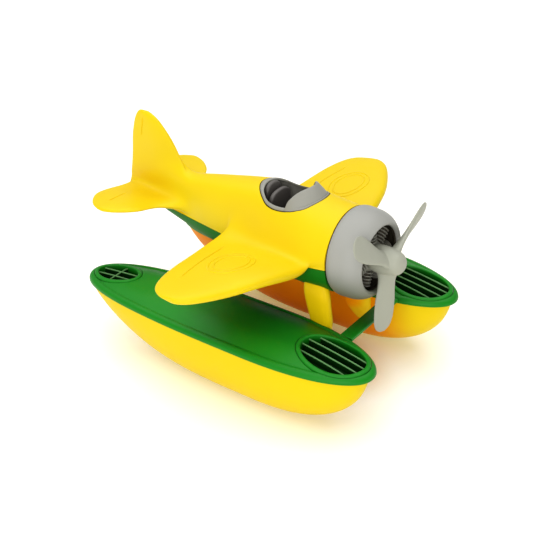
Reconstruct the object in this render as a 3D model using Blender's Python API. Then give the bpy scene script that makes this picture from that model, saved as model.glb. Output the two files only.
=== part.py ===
"""Toy seaplane: a moulded plane with a turning three-blade propeller, on two decked floats.

Frame: +X forward, +Y port, +Z up, origin on the floor below the middle of the toy.
The tables are in millimetres and become metres when a mesh is made.
"""

import math

import bmesh
import bpy
import numpy as np

MM = 0.001
GAP = 0.3

# Driving dimensions, in millimetres
FLOAT_Y = 51.6
FLOAT_STERN_X = -113.6
FLOAT_BOW_X = 119.2
FLOAT_MIDDLE_X = (FLOAT_BOW_X + FLOAT_STERN_X) / 2.0
FLOAT_REACH = (FLOAT_BOW_X - FLOAT_STERN_X) / 2.0
FLOAT_HALF_WIDTH = 28.8
FLOAT_WIDEST_X = 38.0
DECK_EDGE_Z = 52.5
DECK_RIM = 4.2
DECK_ROUND = 3.5
DECK_CROWN = 3.6
CROWN_FULL_WIDTH = 27.5
CROWN_FLAT_SHARE = 0.3
HULL_WALL = 2.0
HULL_STERN_X = -111.0
HULL_BOW_X = 114.8
HULL_INSET = 0.5
KEEL_FLAT = (4.0, 40.0)
SEAM_Z = 88.3
SEAM_RISE = 6.4
SEAM_RISE_FROM_X = -30.0
SEAM_RISE_POWER = 1.6
COWL_X = 68.6
COWL_Z = 96.8
COWL_R = 28.8
COWL_FRONT_X = 92.0
COWL_MOUTH_R = 22.0
PROP_X = 97.0
PROP_Z = COWL_Z
PROP_R = 49.5
BLADES = 3
BLADE_START = 22.0

COLOURS = {
    "yellow": (0.93, 0.62, 0.01),
    "green": (0.035, 0.25, 0.035),
    "light_grey": (0.42, 0.42, 0.38),
    "dark_grey": (0.06, 0.055, 0.05),
}


def material(name, roughness=0.42):
    """A plain moulded-plastic material in one of the toy's colours."""
    made = bpy.data.materials.new(name)
    made.use_nodes = True
    shader = made.node_tree.nodes["Principled BSDF"]
    shader.inputs["Base Color"].default_value = (*COLOURS[name], 1.0)
    shader.inputs["Roughness"].default_value = roughness
    shader.inputs["Metallic"].default_value = 0.0
    return made


def add_object(name, points, faces, colour, smooth_deg=40.0):
    """A mesh object from points in millimetres, with its faces turned outwards."""
    mesh = bpy.data.meshes.new(name)
    mesh.from_pydata([tuple(np.asarray(p, float) * MM) for p in points], [], [tuple(f) for f in faces])
    shape = bmesh.new()
    shape.from_mesh(mesh)
    bmesh.ops.recalc_face_normals(shape, faces=shape.faces)
    shape.to_mesh(mesh)
    shape.free()
    mesh.shade_smooth()
    mesh.set_sharp_from_angle(angle=math.radians(smooth_deg))
    mesh.materials.append(MATERIALS[colour])
    made = bpy.data.objects.new(name, mesh)
    bpy.context.scene.collection.objects.link(made)
    return made


def helper(made):
    """Marks an object as a cutter, which is not a piece of the toy."""
    made.hide_render = True
    made.display_type = "WIRE"
    return made


def boolean(target, other, operation="DIFFERENCE"):
    """Cuts or joins with another object, exactly."""
    step = target.modifiers.new(other.name, "BOOLEAN")
    step.operation = operation
    step.solver = "EXACT"
    step.object = other
    return step


def loft(rings, closed_ends=True):
    """Points and faces of a tube through rings of equal length, with end caps."""
    count = len(rings[0])
    points = [p for ring in rings for p in ring]
    faces = []
    for level in range(len(rings) - 1):
        low = level * count
        for k in range(count):
            n = (k + 1) % count
            faces.append((low + k, low + n, low + count + n, low + count + k))
    if closed_ends:
        faces.append(tuple(range(count))[::-1])
        faces.append(tuple(range(len(points) - count, len(points))))
    return points, faces


def turned(profile, sides, centre_z):
    """A closed profile of (x, radius) turned about the X axis line at centre_z."""
    points = []
    faces = []
    count = len(profile)
    for s in range(sides):
        angle = math.tau * s / sides
        for x, radius in profile:
            points.append((x, radius * math.sin(angle), centre_z + radius * math.cos(angle)))
    for s in range(sides):
        n = (s + 1) % sides
        for k in range(count):
            m = (k + 1) % count
            faces.append((s * count + k, s * count + m, n * count + m, n * count + k))
    return points, faces


# Catmull-Clark cages whose smooth surface passes through the points that are given


class Cage:
    """Control cage for a subdivision surface, with sharp edges listed as vertex pairs."""

    def __init__(self):
        self.points = []
        self.faces = []
        self.sharp = set()

    def point(self, xyz):
        self.points.append(tuple(float(v) for v in xyz))
        return len(self.points) - 1

    def strip(self, row_a, row_b, closed=False):
        """Quads between two rows of point numbers."""
        pairs = len(row_a) if closed else len(row_a) - 1
        for k in range(pairs):
            n = (k + 1) % len(row_a)
            self.faces.append((row_a[k], row_a[n], row_b[n], row_b[k]))

    def remove(self, face):
        """Takes out the face with these corners, in any order."""
        wanted = set(face)
        self.faces = [f for f in self.faces if set(f) != wanted]

    def crease(self, row, closed=False):
        """Makes the edges along a row sharp."""
        pairs = len(row) if closed else len(row) - 1
        for k in range(pairs):
            self.sharp.add(frozenset((row[k], row[(k + 1) % len(row)])))

    def grow(self, grid, levels):
        """Pulls the patch of faces on a grid of point numbers out through levels of grids of places."""
        rows = len(grid)
        columns = len(grid[0])
        for r in range(rows - 1):
            for c in range(columns - 1):
                self.remove((grid[r][c], grid[r][c + 1], grid[r + 1][c + 1], grid[r + 1][c]))
        rim = [(r, 0) for r in range(rows)]
        rim += [(rows - 1, c) for c in range(1, columns)]
        rim += [(r, columns - 1) for r in range(rows - 2, -1, -1)]
        rim += [(0, c) for c in range(columns - 2, 0, -1)]
        below = [grid[r][c] for r, c in rim]
        for number, places in enumerate(levels):
            last = number == len(levels) - 1
            made = {rc: self.point(places[rc[0]][rc[1]]) for rc in rim}
            above = [made[rc] for rc in rim]
            self.strip(below, above, closed=True)
            below = above
            if last:
                for r in range(rows):
                    for c in range(columns):
                        if (r, c) not in made:
                            made[(r, c)] = self.point(places[r][c])
                for r in range(rows - 1):
                    for c in range(columns - 1):
                        corners = ((r, c), (r, c + 1), (r + 1, c + 1), (r + 1, c))
                        self.faces.append(tuple(made[rc] for rc in corners))

    def limit(self, points):
        """Where the smooth surface meets each control point."""
        edges_of = [set() for _ in points]
        face_sum = np.zeros_like(points)
        for face in self.faces:
            size = len(face)
            centre = points[list(face)].mean(axis=0)
            for k in range(size):
                a = face[k]
                b = face[(k + 1) % size]
                edges_of[a].add(b)
                edges_of[b].add(a)
                face_sum[a] += centre
        out = points.copy()
        for v, others in enumerate(edges_of):
            sharp = [o for o in others if frozenset((v, o)) in self.sharp]
            count = len(others)
            if len(sharp) > 2:
                continue
            if len(sharp) == 2:
                out[v] = (4.0 * points[v] + points[sharp[0]] + points[sharp[1]]) / 6.0
                continue
            middles = sum(points[o] + points[v] for o in others) / 2.0
            around = 4.0 * middles + 4.0 * face_sum[v] + (count * count - 3.0 * count) * points[v]
            out[v] = around / (count * (count + 5.0))
        return out

    def drop_unused(self):
        """Takes out points that no face uses, such as those under a patch that grew."""
        used = sorted({v for face in self.faces for v in face})
        renumber = {old: new for new, old in enumerate(used)}
        self.points = [self.points[v] for v in used]
        self.faces = [tuple(renumber[v] for v in face) for face in self.faces]
        pairs = [pair for pair in self.sharp if pair <= renumber.keys()]
        self.sharp = {frozenset(renumber[v] for v in pair) for pair in pairs}

    def solve(self, rounds=14):
        """Moves the control points until the smooth surface passes through their given places."""
        self.drop_unused()
        wanted = np.array(self.points)
        points = wanted.copy()
        for _ in range(rounds):
            points += 0.9 * (wanted - self.limit(points))
        self.points = [tuple(p) for p in points]

    def build(self, name, colour, levels):
        """The cage as an object with a Subdivision Surface modifier."""
        made = add_object(name, self.points, self.faces, colour)
        shape = bmesh.new()
        shape.from_mesh(made.data)
        layer = shape.edges.layers.float.new("crease_edge")
        for edge in shape.edges:
            if frozenset(v.index for v in edge.verts) in self.sharp:
                edge[layer] = 1.0
        shape.to_mesh(made.data)
        shape.free()
        made.data.shade_smooth()
        smooth = made.modifiers.new("smooth", "SUBSURF")
        smooth.levels = levels
        smooth.render_levels = levels
        return made


# Fuselage, wings, tail and fin in one moulding.
# x, top z, shoulder (y, z), strip top (y, z), strip bottom (y, z), half width at the seam
FUSELAGE = [
    (68.6, 125.1, 16.5, 119.9, 27.3, 106.0, 28.8, 96.8, 28.7),
    (57.5, 126.4, 16.8, 120.4, 27.8, 105.6, 29.1, 95.6, 29.0),
    (45.0, 127.6, 16.6, 121.5, 27.2, 104.4, 28.5, 93.9, 28.3),
    (32.0, 128.4, 15.8, 122.4, 26.0, 103.4, 27.2, 92.7, 27.0),
    (16.0, 128.6, 14.8, 122.6, 24.2, 102.4, 25.4, 91.7, 25.2),
    (2.0, 127.4, 13.4, 121.4, 22.0, 101.4, 23.2, 91.0, 23.0),
    (-13.0, 125.0, 12.0, 119.3, 19.4, 100.2, 20.3, 90.4, 20.1),
    (-21.0, 123.4, 11.2, 118.0, 17.6, 99.8, 18.2, 90.4, 18.0),
    (-42.0, 119.4, 9.0, 114.6, 13.8, 99.4, 14.3, 90.4, 14.1),
    (-60.0, 116.5, 6.8, 112.3, 10.4, 98.6, 10.9, 90.6, 10.7),
    (-80.0, 113.4, 4.6, 109.8, 7.0, 97.8, 7.4, 90.8, 7.2),
    (-96.0, 112.0, 3.4, 108.0, 4.9, 97.8, 5.3, 91.0, 5.2),
    (-114.4, 110.6, 2.2, 107.0, 3.2, 98.0, 3.4, 91.6, 3.2),
]
TAIL_X = -119.6
# Tail end: how far ahead of TAIL_X, half width, z
TAIL_CROWN = (4.2, 0.0, 107.8)
TAIL_HALF = [(3.9, 1.1, 104.6), (2.2, 1.6, 98.6), (0.6, 1.6, 94.2), (0.4, 1.4, 91.0)]
TAIL_FLOOR = (0.5, 0.0, 90.6)

# half span, leading (x, z), trailing (x, z), half thickness
WING_RIBS = [
    (36.0, 55.8, 93.4, -15.2, 92.4, 5.2),
    (62.9, 52.4, 98.4, -10.2, 96.2, 4.7),
    (85.7, 44.0, 99.9, -6.8, 98.6, 4.0),
    (102.9, 33.6, 100.2, -2.2, 99.6, 3.2),
    (111.0, 25.6, 100.1, 4.0, 99.9, 2.4),
    (113.6, 20.2, 99.9, 9.4, 99.9, 1.2),
]
# share of the chord, share of the half thickness
WING_CHORD = [(0.015, 0.52), (0.14, 0.98), (0.34, 1.0), (0.58, 0.8), (0.8, 0.52), (0.985, 0.22)]

TAIL_RIBS = [
    (20.0, -75.0, 94.6, -120.4, 96.4, 2.8),
    (34.0, -79.0, 97.0, -120.4, 97.9, 2.4),
    (43.0, -85.2, 98.0, -115.2, 98.3, 2.1),
    (48.2, -92.6, 98.2, -109.4, 98.4, 1.6),
    (50.3, -98.6, 98.2, -104.4, 98.3, 0.9),
]
TAIL_CHORD = [(0.02, 0.5), (0.34, 1.0), (0.7, 0.8), (0.975, 0.3)]

# z, leading x, trailing x, half thickness
FIN_RIBS = [
    (121.0, -67.6, -113.7, 3.1),
    (132.0, -74.2, -112.3, 2.8),
    (142.5, -81.8, -109.7, 2.5),
    (150.0, -89.4, -106.4, 2.1),
    (153.2, -95.2, -103.2, 1.1),
]
FIN_CHORD = [(0.02, 0.45), (0.33, 1.0), (0.68, 0.85), (0.98, 0.4)]


def seam_height(x):
    """Height of the line where the yellow top meets the green bottom; it rises towards the cowl."""
    share = max(0.0, (x - SEAM_RISE_FROM_X) / (COWL_X - SEAM_RISE_FROM_X))
    return SEAM_Z + SEAM_RISE * share**SEAM_RISE_POWER


def rib_grid(rib, chord, side):
    """Upper and lower places along the chord of one wing or tailplane rib."""
    y, leading_x, leading_z, trailing_x, trailing_z, thick = rib
    rows = []
    for share, depth in chord:
        x = leading_x + (trailing_x - leading_x) * share
        middle = leading_z + (trailing_z - leading_z) * share
        rows.append([(x, side * y, middle + thick * depth), (x, side * y, middle - thick * depth)])
    return rows


def fin_grid(rib, chord):
    """Starboard, middle and port places along the chord at one height of the fin."""
    z, leading, trailing, thick = rib
    rows = []
    last = len(chord) - 1
    for number, (share, depth) in enumerate(chord):
        x = leading + (trailing - leading) * share
        nose = {0: 0.7, last: -0.6}.get(number, 0.0)
        rows.append([(x, -thick * depth, z), (x + nose, 0.0, z), (x, thick * depth, z)])
    return rows


def upper_body_cage():
    """Cage of the yellow fuselage top with its wings, tailplane and fin."""
    cage = Cage()
    rings = []
    for x, top, y1, z1, y2, z2, y3, z3, y4 in FUSELAGE:
        half = [(y1, z1), (y2, z2), (y3, z3), (y4, seam_height(x))]
        port = [cage.point((x, y, z)) for y, z in half]
        starboard = [cage.point((x, -y, z)) for y, z in half]
        crown = cage.point((x, 0.0, top))
        floor = cage.point((x, 0.0, seam_height(x)))
        rings.append([crown, *port, floor, *starboard[::-1]])
    port = [cage.point((TAIL_X + dx, y, z)) for dx, y, z in TAIL_HALF]
    starboard = [cage.point((TAIL_X + dx, -y, z)) for dx, y, z in TAIL_HALF]
    crown, floor = (cage.point((TAIL_X + dx, y, z)) for dx, y, z in (TAIL_CROWN, TAIL_FLOOR))
    rings.append([crown, *port, floor, *starboard[::-1]])
    for a, b in zip(rings, rings[1:]):
        cage.strip(a, b, closed=True)
    for ring in (rings[0], rings[-1]):
        for k in range(4):
            cage.faces.append((ring[k], ring[k + 1], ring[-k - 1], ring[-k] if k else ring[0]))
        cage.faces[-4] = (ring[0], ring[1], ring[-1])
        cage.faces.append((ring[4], ring[5], ring[6]))
    cage.crease(rings[0], closed=True)
    cage.crease([ring[4] for ring in rings[:-1]])
    cage.crease([ring[6] for ring in rings[:-1]])
    # The wing grows from stations 1 to 6, the tailplane from 9 to 12
    for side, top_column, low_column in ((1, 2, 3), (-1, 8, 7)):
        grid = [[rings[s][top_column], rings[s][low_column]] for s in range(1, 7)]
        cage.grow(grid, [rib_grid(rib, WING_CHORD, side) for rib in WING_RIBS])
        grid = [[rings[s][top_column], rings[s][low_column]] for s in range(9, 13)]
        cage.grow(grid, [rib_grid(rib, TAIL_CHORD, side) for rib in TAIL_RIBS])
    grid = [[rings[s][9], rings[s][0], rings[s][1]] for s in range(9, 13)]
    cage.grow(grid, [fin_grid(rib, FIN_CHORD) for rib in FIN_RIBS])
    cage.solve()
    return cage


# x, half width at the seam, bottom z
BELLY = [
    (68.6, 28.6, 68.4),
    (57.5, 29.0, 67.8),
    (45.0, 28.3, 67.6),
    (32.0, 27.0, 67.6),
    (16.0, 25.2, 68.0),
    (2.0, 23.0, 68.7),
    (-13.0, 20.1, 69.8),
    (-21.0, 18.0, 70.4),
    (-42.0, 14.1, 72.2),
    (-60.0, 10.7, 75.9),
    (-80.0, 7.2, 81.4),
    (-92.0, 5.6, 85.6),
]


def belly_cage(grow=0.0):
    """Cage of the green fuselage bottom; grow thickens it to cut a seat for the legs."""
    cage = Cage()
    rings = []
    for x, wide, bottom in BELLY:
        top = seam_height(x) - GAP
        deep = top - bottom + grow
        wide = wide + grow
        half = [(wide, 0.0), (wide * 0.93, 0.36), (wide * 0.66, 0.76), (0.0, 1.0)]
        port = [cage.point((x, y, top - deep * f)) for y, f in half]
        starboard = [cage.point((x, -y, top - deep * f)) for y, f in half[:3]]
        roof = cage.point((x, 0.0, top))
        rings.append([roof, *port, *starboard[::-1]])
    for a, b in zip(rings, rings[1:]):
        cage.strip(a, b, closed=True)
    for ring in (rings[0], rings[-1]):
        cage.faces.append((ring[0], ring[1], ring[2], ring[3]))
        cage.faces.append((ring[0], ring[3], ring[4], ring[5]))
        cage.faces.append((ring[0], ring[5], ring[6], ring[7]))
        cage.crease(ring, closed=True)
    cage.crease([ring[1] for ring in rings])
    cage.crease([ring[7] for ring in rings])
    cage.solve()
    return cage


# Floats


def float_half_width(x, stern_x=FLOAT_STERN_X, bow_x=FLOAT_BOW_X):
    """Half width of a float's deck line in plan: round at the bow, finer at the stern."""
    if x >= FLOAT_WIDEST_X:
        share = (x - FLOAT_WIDEST_X) / (bow_x - FLOAT_WIDEST_X)
        inner_power, outer_power = 2.2, 0.48
    else:
        share = (FLOAT_WIDEST_X - x) / (FLOAT_WIDEST_X - stern_x)
        inner_power, outer_power = 3.2, 0.46
    return FLOAT_HALF_WIDTH * max(0.0, 1.0 - min(share, 1.0) ** inner_power) ** outer_power


def deck_edge_height(x):
    """Height of the deck's edge, which sweeps down a little towards the stern and the bow."""
    stern = max(0.0, (-30.0 - x) / (-30.0 - FLOAT_STERN_X))
    bow = max(0.0, (x - 36.0) / (FLOAT_BOW_X - 36.0))
    return DECK_EDGE_Z - 2.8 * stern**2 - 1.6 * bow**2


def deck_crown(wide, share):
    """How far the crowned deck stands above its edge, at a share of its half width."""
    full = min(1.0, wide / CROWN_FULL_WIDTH) ** 2
    fall = max(0.0, (abs(share) - CROWN_FLAT_SHARE) / (1.0 - CROWN_FLAT_SHARE))
    return DECK_CROWN * full * (1.0 - min(fall, 1.0) ** 2)


def deck_top(x, y):
    """Height of the deck's top surface beside the float's middle line."""
    wide = float_half_width(x)
    return deck_edge_height(x) + deck_crown(wide, y / max(wide - DECK_ROUND, 0.1))


def keel_height(x):
    """Height of the keel line: flat amidships, rising slowly to the stern and faster to the bow."""
    if x > KEEL_FLAT[1]:
        share = (x - KEEL_FLAT[1]) / (HULL_BOW_X - KEEL_FLAT[1])
        return 34.8 * min(share, 1.0) ** 3.0
    if x < KEEL_FLAT[0]:
        share = (KEEL_FLAT[0] - x) / (KEEL_FLAT[0] - HULL_STERN_X)
        return 43.0 * min(share, 1.0) ** 2.8
    return 0.0


def hull_roundness(x):
    """Power of the hull's section: fuller than a circle above 2, V-shaped below it."""
    stern = max(0.0, (KEEL_FLAT[0] - x) / (KEEL_FLAT[0] - HULL_STERN_X))
    bow = max(0.0, (x - KEEL_FLAT[1]) / (HULL_BOW_X - KEEL_FLAT[1]))
    return 2.1 - 0.45 * min(stern, 1.0) - 0.35 * min(bow, 1.0)


def hull_stations(count=20):
    """Places along a hull, closer together at both round ends."""
    middle = (HULL_BOW_X + HULL_STERN_X) / 2.0
    reach = 0.99 * (HULL_BOW_X - HULL_STERN_X) / 2.0
    return [middle + reach * math.sin(math.pi * (k / (count - 1) - 0.5)) for k in range(count)]


def hull_section(x, wall, sides=14):
    """Half-round section of a float hull, port rim to starboard rim, drawn in by a wall."""
    top = deck_edge_height(x) - DECK_RIM - GAP
    wide = max(float_half_width(x, HULL_STERN_X, HULL_BOW_X) - HULL_INSET - wall, 0.6)
    deep = max(top - keel_height(x) - wall, 0.8)
    power = 2.0 / hull_roundness(x)
    section = []
    for k in range(sides + 1):
        angle = math.pi * k / sides
        c = math.cos(angle)
        s = math.sin(angle)
        section.append((x, wide * math.copysign(abs(c) ** power, c), top - deep * abs(s) ** power))
    low = min(p[2] for p in section)
    return [(px, py, low if abs(pz - low) < 0.05 * deep else pz) for px, py, pz in section]


def beside(points, side):
    """Moves points from the middle line to one of the floats."""
    return [(x, y + side * FLOAT_Y, z) for x, y, z in points]


def float_hull(name, side):
    """A hollow boat-shaped float, open at the top, where its deck lies."""
    outer = [hull_section(x, 0.0) for x in hull_stations()]
    inner = []
    for x in hull_stations():
        section = hull_section(x, HULL_WALL)
        inner.append([((p[0] - FLOAT_MIDDLE_X) * 0.98 + FLOAT_MIDDLE_X, p[1], p[2]) for p in section])
    count = len(outer[0])
    points = [p for ring in outer for p in ring] + [p for ring in inner for p in ring]
    faces = []
    skin = len(outer) * count
    for level in range(len(outer) - 1):
        for k in range(count - 1):
            a = level * count + k
            faces.append((a, a + 1, a + count + 1, a + count))
            faces.append((skin + a, skin + a + 1, skin + a + count + 1, skin + a + count))
        for k in (0, count - 1):
            a = level * count + k
            faces.append((a, a + count, skin + a + count, skin + a))
    for first in (0, (len(outer) - 1) * count):
        faces.append(tuple(range(first, first + count)))
        faces.append(tuple(range(skin + first, skin + first + count)))
        faces.append((first, first + count - 1, skin + first + count - 1, skin + first))
    return add_object(name, beside(points, side), faces, "yellow")


def hull_seat(name, side):
    """A closed hull shape, one gap larger than the hull, to cut what stands against it."""
    rings = [hull_section(x, -GAP) for x in hull_stations()]
    for ring in rings:
        for k in (0, -1):
            x, y, z = ring[k]
            ring[k] = (x, y, z + GAP)
    points, faces = loft(rings)
    return helper(add_object(name, beside(points, side), faces, "yellow"))


def deck_outline(inset, drop, count=22):
    """A closed ring of the deck's plan, inset and lowered, port side first."""
    port = []
    for k in range(count + 1):
        share = math.sin(math.pi * (k / count - 0.5))
        x = FLOAT_MIDDLE_X + (FLOAT_REACH - inset) * share
        wide = max(float_half_width(FLOAT_MIDDLE_X + FLOAT_REACH * share) - inset, 0.0)
        if k in (0, count):
            wide = 0.0
        port.append((x, wide, deck_edge_height(x) - drop))
    return port + [(x, -y, z) for x, y, z in port[-2:0:-1]]


def deck_shape(grow):
    """Points and faces of a deck with a round edge and a crowned top, made larger all round by grow."""
    soft = 0.3 * DECK_ROUND
    rings = [
        deck_outline(-grow, DECK_RIM + grow),
        deck_outline(-grow, DECK_ROUND - grow),
        deck_outline(soft - grow, soft - grow),
        deck_outline(DECK_ROUND - grow, -grow),
    ]
    points, faces = loft(rings, closed_ends=False)
    count = len(rings[0])
    half = count // 2
    last = len(points) - count
    ports = list(range(half + 1))
    starboards = [(count - k) % count for k in ports]
    for k in range(half):
        corners = (ports[k], ports[k + 1], starboards[k + 1], starboards[k])
        faces.append(tuple(dict.fromkeys(corners)))
    lanes = [[last + k for k in ports]]
    for share in (0.65, CROWN_FLAT_SHARE, -CROWN_FLAT_SHARE, -0.65):
        lane = [last]
        for x, y, z in rings[-1][1:half]:
            points.append((x, y * share, z + deck_crown(y + DECK_ROUND, share)))
            lane.append(len(points) - 1)
        lane.append(last + half)
        lanes.append(lane)
    lanes.append([last + k for k in starboards])
    for a, b in zip(lanes, lanes[1:]):
        for k in range(half):
            faces.append(tuple(dict.fromkeys((a[k], a[k + 1], b[k + 1], b[k]))))
    return points, faces


# centre x, half length, half width, slats
VENTS = [
    (90.2, 22.0, 14.8, 4),
    (-89.6, 16.8, 9.4, 2),
]
VENT_RIM_WIDE = 3.0
VENT_RIM_HIGH = 0.8
SLAT = 1.1


def oval(centre_x, side, half_long, half_wide, height, sides=28):
    """A ring of points on an oval beside the middle line; height gives z from x and y."""
    ring = []
    for k in range(sides):
        x = centre_x + half_long * math.cos(math.tau * k / sides)
        y = half_wide * math.sin(math.tau * k / sides)
        ring.append((x, y + side * FLOAT_Y, height(x, y)))
    return ring


def box(name, low, high, colour="green"):
    """A box between two corners."""
    x0, y0, z0 = low
    x1, y1, z1 = high
    rings = []
    for z in (z0, z1):
        rings.append([(x0, y0, z), (x1, y0, z), (x1, y1, z), (x0, y1, z)])
    return add_object(name, *loft(rings), colour)


def vent_pad(name, x, side, half_long, half_wide):
    """The raised oval that becomes the rim of a vent, following the crown of the deck."""
    long_rim = half_long + VENT_RIM_WIDE
    wide_rim = half_wide + VENT_RIM_WIDE
    levels = [lambda px, py: deck_edge_height(px) - 2.0, lambda px, py: deck_top(px, py) + VENT_RIM_HIGH]
    rings = [oval(x, side, long_rim, wide_rim, levels[0])]
    for share in (1.0, 0.66, 0.33):
        rings.append(oval(x, side, long_rim * share, wide_rim * share, levels[1]))
    return helper(add_object(name, *loft(rings), "green"))


def float_deck(name, side):
    """The green lid of a float, with a slatted oval vent at each end."""
    points, faces = deck_shape(0.0)
    deck = add_object(name, beside(points, side), faces, "green", smooth_deg=35.0)
    low = DECK_EDGE_Z - 14.0
    high = DECK_EDGE_Z + 9.0
    for number, (x, half_long, half_wide, slats) in enumerate(VENTS):
        label = f"{name}_vent_{number}"
        boolean(deck, vent_pad(f"{label}_rim", x, side, half_long, half_wide), "UNION")
        rings = [oval(x, side, half_long, half_wide, lambda px, py, z=z: z) for z in (low, high)]
        cutter = helper(add_object(label, *loft(rings), "green"))
        for k in range(slats):
            y = side * FLOAT_Y + half_wide * 2.0 * ((k + 1) / (slats + 1) - 0.5)
            start = (x - half_long - 2.0, y - SLAT / 2.0, low - 2.0)
            end = (x + half_long + 2.0, y + SLAT / 2.0, high + 2.0)
            boolean(cutter, helper(box(f"{label}_slat_{k}", start, end)))
        boolean(deck, cutter)
    return deck


# Legs, level by level: z, rear x, front x, middle y at the rear, half thickness, how far out the nose is
LEGS = {
    "front": [
        (44.0, 54.0, 69.6, 19.8, 4.6, 3.6),
        (52.0, 53.0, 70.5, 19.8, 4.6, 3.6),
        (63.0, 50.2, 69.6, 19.8, 4.6, 3.4),
        (75.0, 48.6, 67.8, 19.6, 4.6, 3.0),
        (83.0, 49.0, 63.0, 17.0, 4.2, 2.0),
    ],
    "rear": [
        (44.0, -33.0, -19.5, 20.0, 4.0, 0.0),
        (52.0, -32.2, -18.5, 19.4, 4.0, 0.0),
        (62.0, -31.2, -18.0, 16.6, 4.0, 0.0),
        (72.0, -31.0, -17.5, 12.6, 4.0, 0.0),
        (80.0, -32.0, -16.5, 9.0, 3.6, 0.0),
        (84.0, -33.5, -15.5, 7.4, 3.2, 0.0),
    ],
}
# share of the chord from the rear, share of the half thickness
LEG_SECTION = [
    (0.0, -0.6),
    (0.0, 0.6),
    (0.08, 0.95),
    (0.35, 1.0),
    (0.7, 0.92),
    (0.9, 0.62),
    (1.0, 0.0),
    (0.9, -0.62),
    (0.7, -0.92),
    (0.35, -1.0),
    (0.08, -0.95),
]


def leg(label, side_name, side):
    """One strut from the inner side of a float up to the belly, cut to sit against both."""
    rings = []
    for z, rear_x, front_x, middle_y, thick, nose_out in LEGS[label]:
        chord = front_x - rear_x
        ring = []
        for along, across in LEG_SECTION:
            y = middle_y + nose_out * along + thick * across
            ring.append((rear_x + chord * along, side * y, z))
        rings.append(ring)
    made = add_object(f"strut_{label}_{side_name}", *loft(rings), "yellow")
    for seat_name in ("belly_seat", f"hull_seat_{side_name}", f"deck_seat_{side_name}"):
        boolean(made, bpy.data.objects[seat_name])
    return made


# name, rear x, front x, low z, high z
CROSSBARS = [
    ("crossbar_front", 79.6, 88.8, 48.9, 51.5),
    ("crossbar_rear", -62.0, -52.0, 48.9, 51.5),
]


def crossbar(name, x0, x1, z0, z1):
    """A flat bar between the two decks."""
    y = FLOAT_Y - float_half_width((x0 + x1) / 2.0) + 2.0
    made = box(name, (x0, -y, z0), (x1, y, z1))
    for side_name, _ in SIDES:
        boolean(made, bpy.data.objects[f"deck_seat_{side_name}"])
    return made


# Cockpit
COCKPIT_X = (3.4, 49.6)
COCKPIT_HALF_WIDTH = 16.3
COCKPIT_CORNER = 13.0
COCKPIT_FLOOR_Z = 101.0
TUB_WALL = 1.6
COAMING_WIDE = 2.4
COAMING_DEEP = 1.3
COAMING_PROUD = 0.5


def crown_height(x, y):
    """Height of the fuselage's top surface near the middle line."""
    stations = [row[0] for row in FUSELAGE][::-1]
    top, shoulder_y, shoulder_z = (
        np.interp(x, stations, [row[column] for row in FUSELAGE][::-1]) for column in (1, 2, 3)
    )
    return top - (top - shoulder_z) * (y / shoulder_y) ** 2


def cockpit_outline(inset, steps=5):
    """Plan of the cockpit as (x, y) points, with round corners, drawn in by an inset."""
    x0 = COCKPIT_X[0] + inset
    x1 = COCKPIT_X[1] - inset
    half = COCKPIT_HALF_WIDTH - inset
    radius = COCKPIT_CORNER - inset
    ring = []
    corners = [(x1 - radius, half - radius, 0.0), (x0 + radius, half - radius, 90.0)]
    corners += [(x0 + radius, radius - half, 180.0), (x1 - radius, radius - half, 270.0)]
    for x, y, start in corners:
        for k in range(steps + 1):
            angle = math.radians(start + 90.0 * k / steps)
            ring.append((x + radius * math.cos(angle), y + radius * math.sin(angle)))
    return ring


def cockpit_prism(name, inset, low, high):
    """An upright prism of the cockpit's plan."""
    rings = [[(x, y, z) for x, y in cockpit_outline(inset)] for z in (low, high)]
    return add_object(name, *loft(rings), "dark_grey")


def cockpit_tub():
    """The dark lining of the cockpit, its rim following the crown of the fuselage under the coaming."""
    levels = []
    for wall in (0.0, TUB_WALL):
        inset = GAP + wall
        floor = COCKPIT_FLOOR_Z + GAP + wall
        outline = cockpit_outline(inset)
        rim = [(x, y, crown_height(x, y) - COAMING_DEEP - GAP) for x, y in outline]
        levels.append(([(x, y, floor) for x, y in outline], rim))
    (outer_floor, outer_rim), (inner_floor, inner_rim) = levels
    rings = [outer_floor, outer_rim, inner_rim, inner_floor]
    return add_object("cockpit_tub", *loft(rings), "dark_grey")


# base x, base y, top x, top y, top z: the screen's starboard half, from its rear end to the middle line
SCREEN = [
    (26.0, -14.9, 25.6, -14.7, 124.2),
    (35.0, -14.9, 32.2, -13.0, 129.4),
    (43.2, -11.4, 37.6, -9.4, 132.4),
    (48.3, 0.0, 39.4, 0.0, 133.2),
]
SCREEN_THICK = 1.5


def windscreen():
    """The light grey coaming around the cockpit with the screen that rises from its front."""
    section = [
        (GAP, COAMING_DEEP),
        (GAP, -COAMING_PROUD),
        (COAMING_WIDE, -COAMING_PROUD),
        (COAMING_WIDE, COAMING_DEEP),
    ]
    rings = []
    for inset, below in section:
        rings.append([(x, y, crown_height(x, y) - below) for x, y in cockpit_outline(inset)])
    points, faces = loft([*rings, rings[0]], closed_ends=False)
    count = len(rings[0])
    faces = [tuple(v % (4 * count) for v in face) for face in faces]
    made = add_object("windscreen", points[: 4 * count], faces, "light_grey")
    rows = SCREEN + [(bx, -by, tx, -ty, tz) for bx, by, tx, ty, tz in SCREEN[-2::-1]]
    sections = []
    for base_x, base_y, top_x, top_y, top_z in rows:
        foot = crown_height(base_x, base_y) - 1.0
        lean = np.array((base_x - 24.0, base_y))
        out = SCREEN_THICK / 2.0 * lean / np.linalg.norm(lean)
        section = [(base_x + out[0], base_y + out[1], foot), (top_x + out[0], top_y + out[1], top_z)]
        section += [(top_x - out[0], top_y - out[1], top_z), (base_x - out[0], base_y - out[1], foot)]
        sections.append(section)
    boolean(made, helper(add_object("screen", *loft(sections), "light_grey")), "UNION")
    return made


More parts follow.
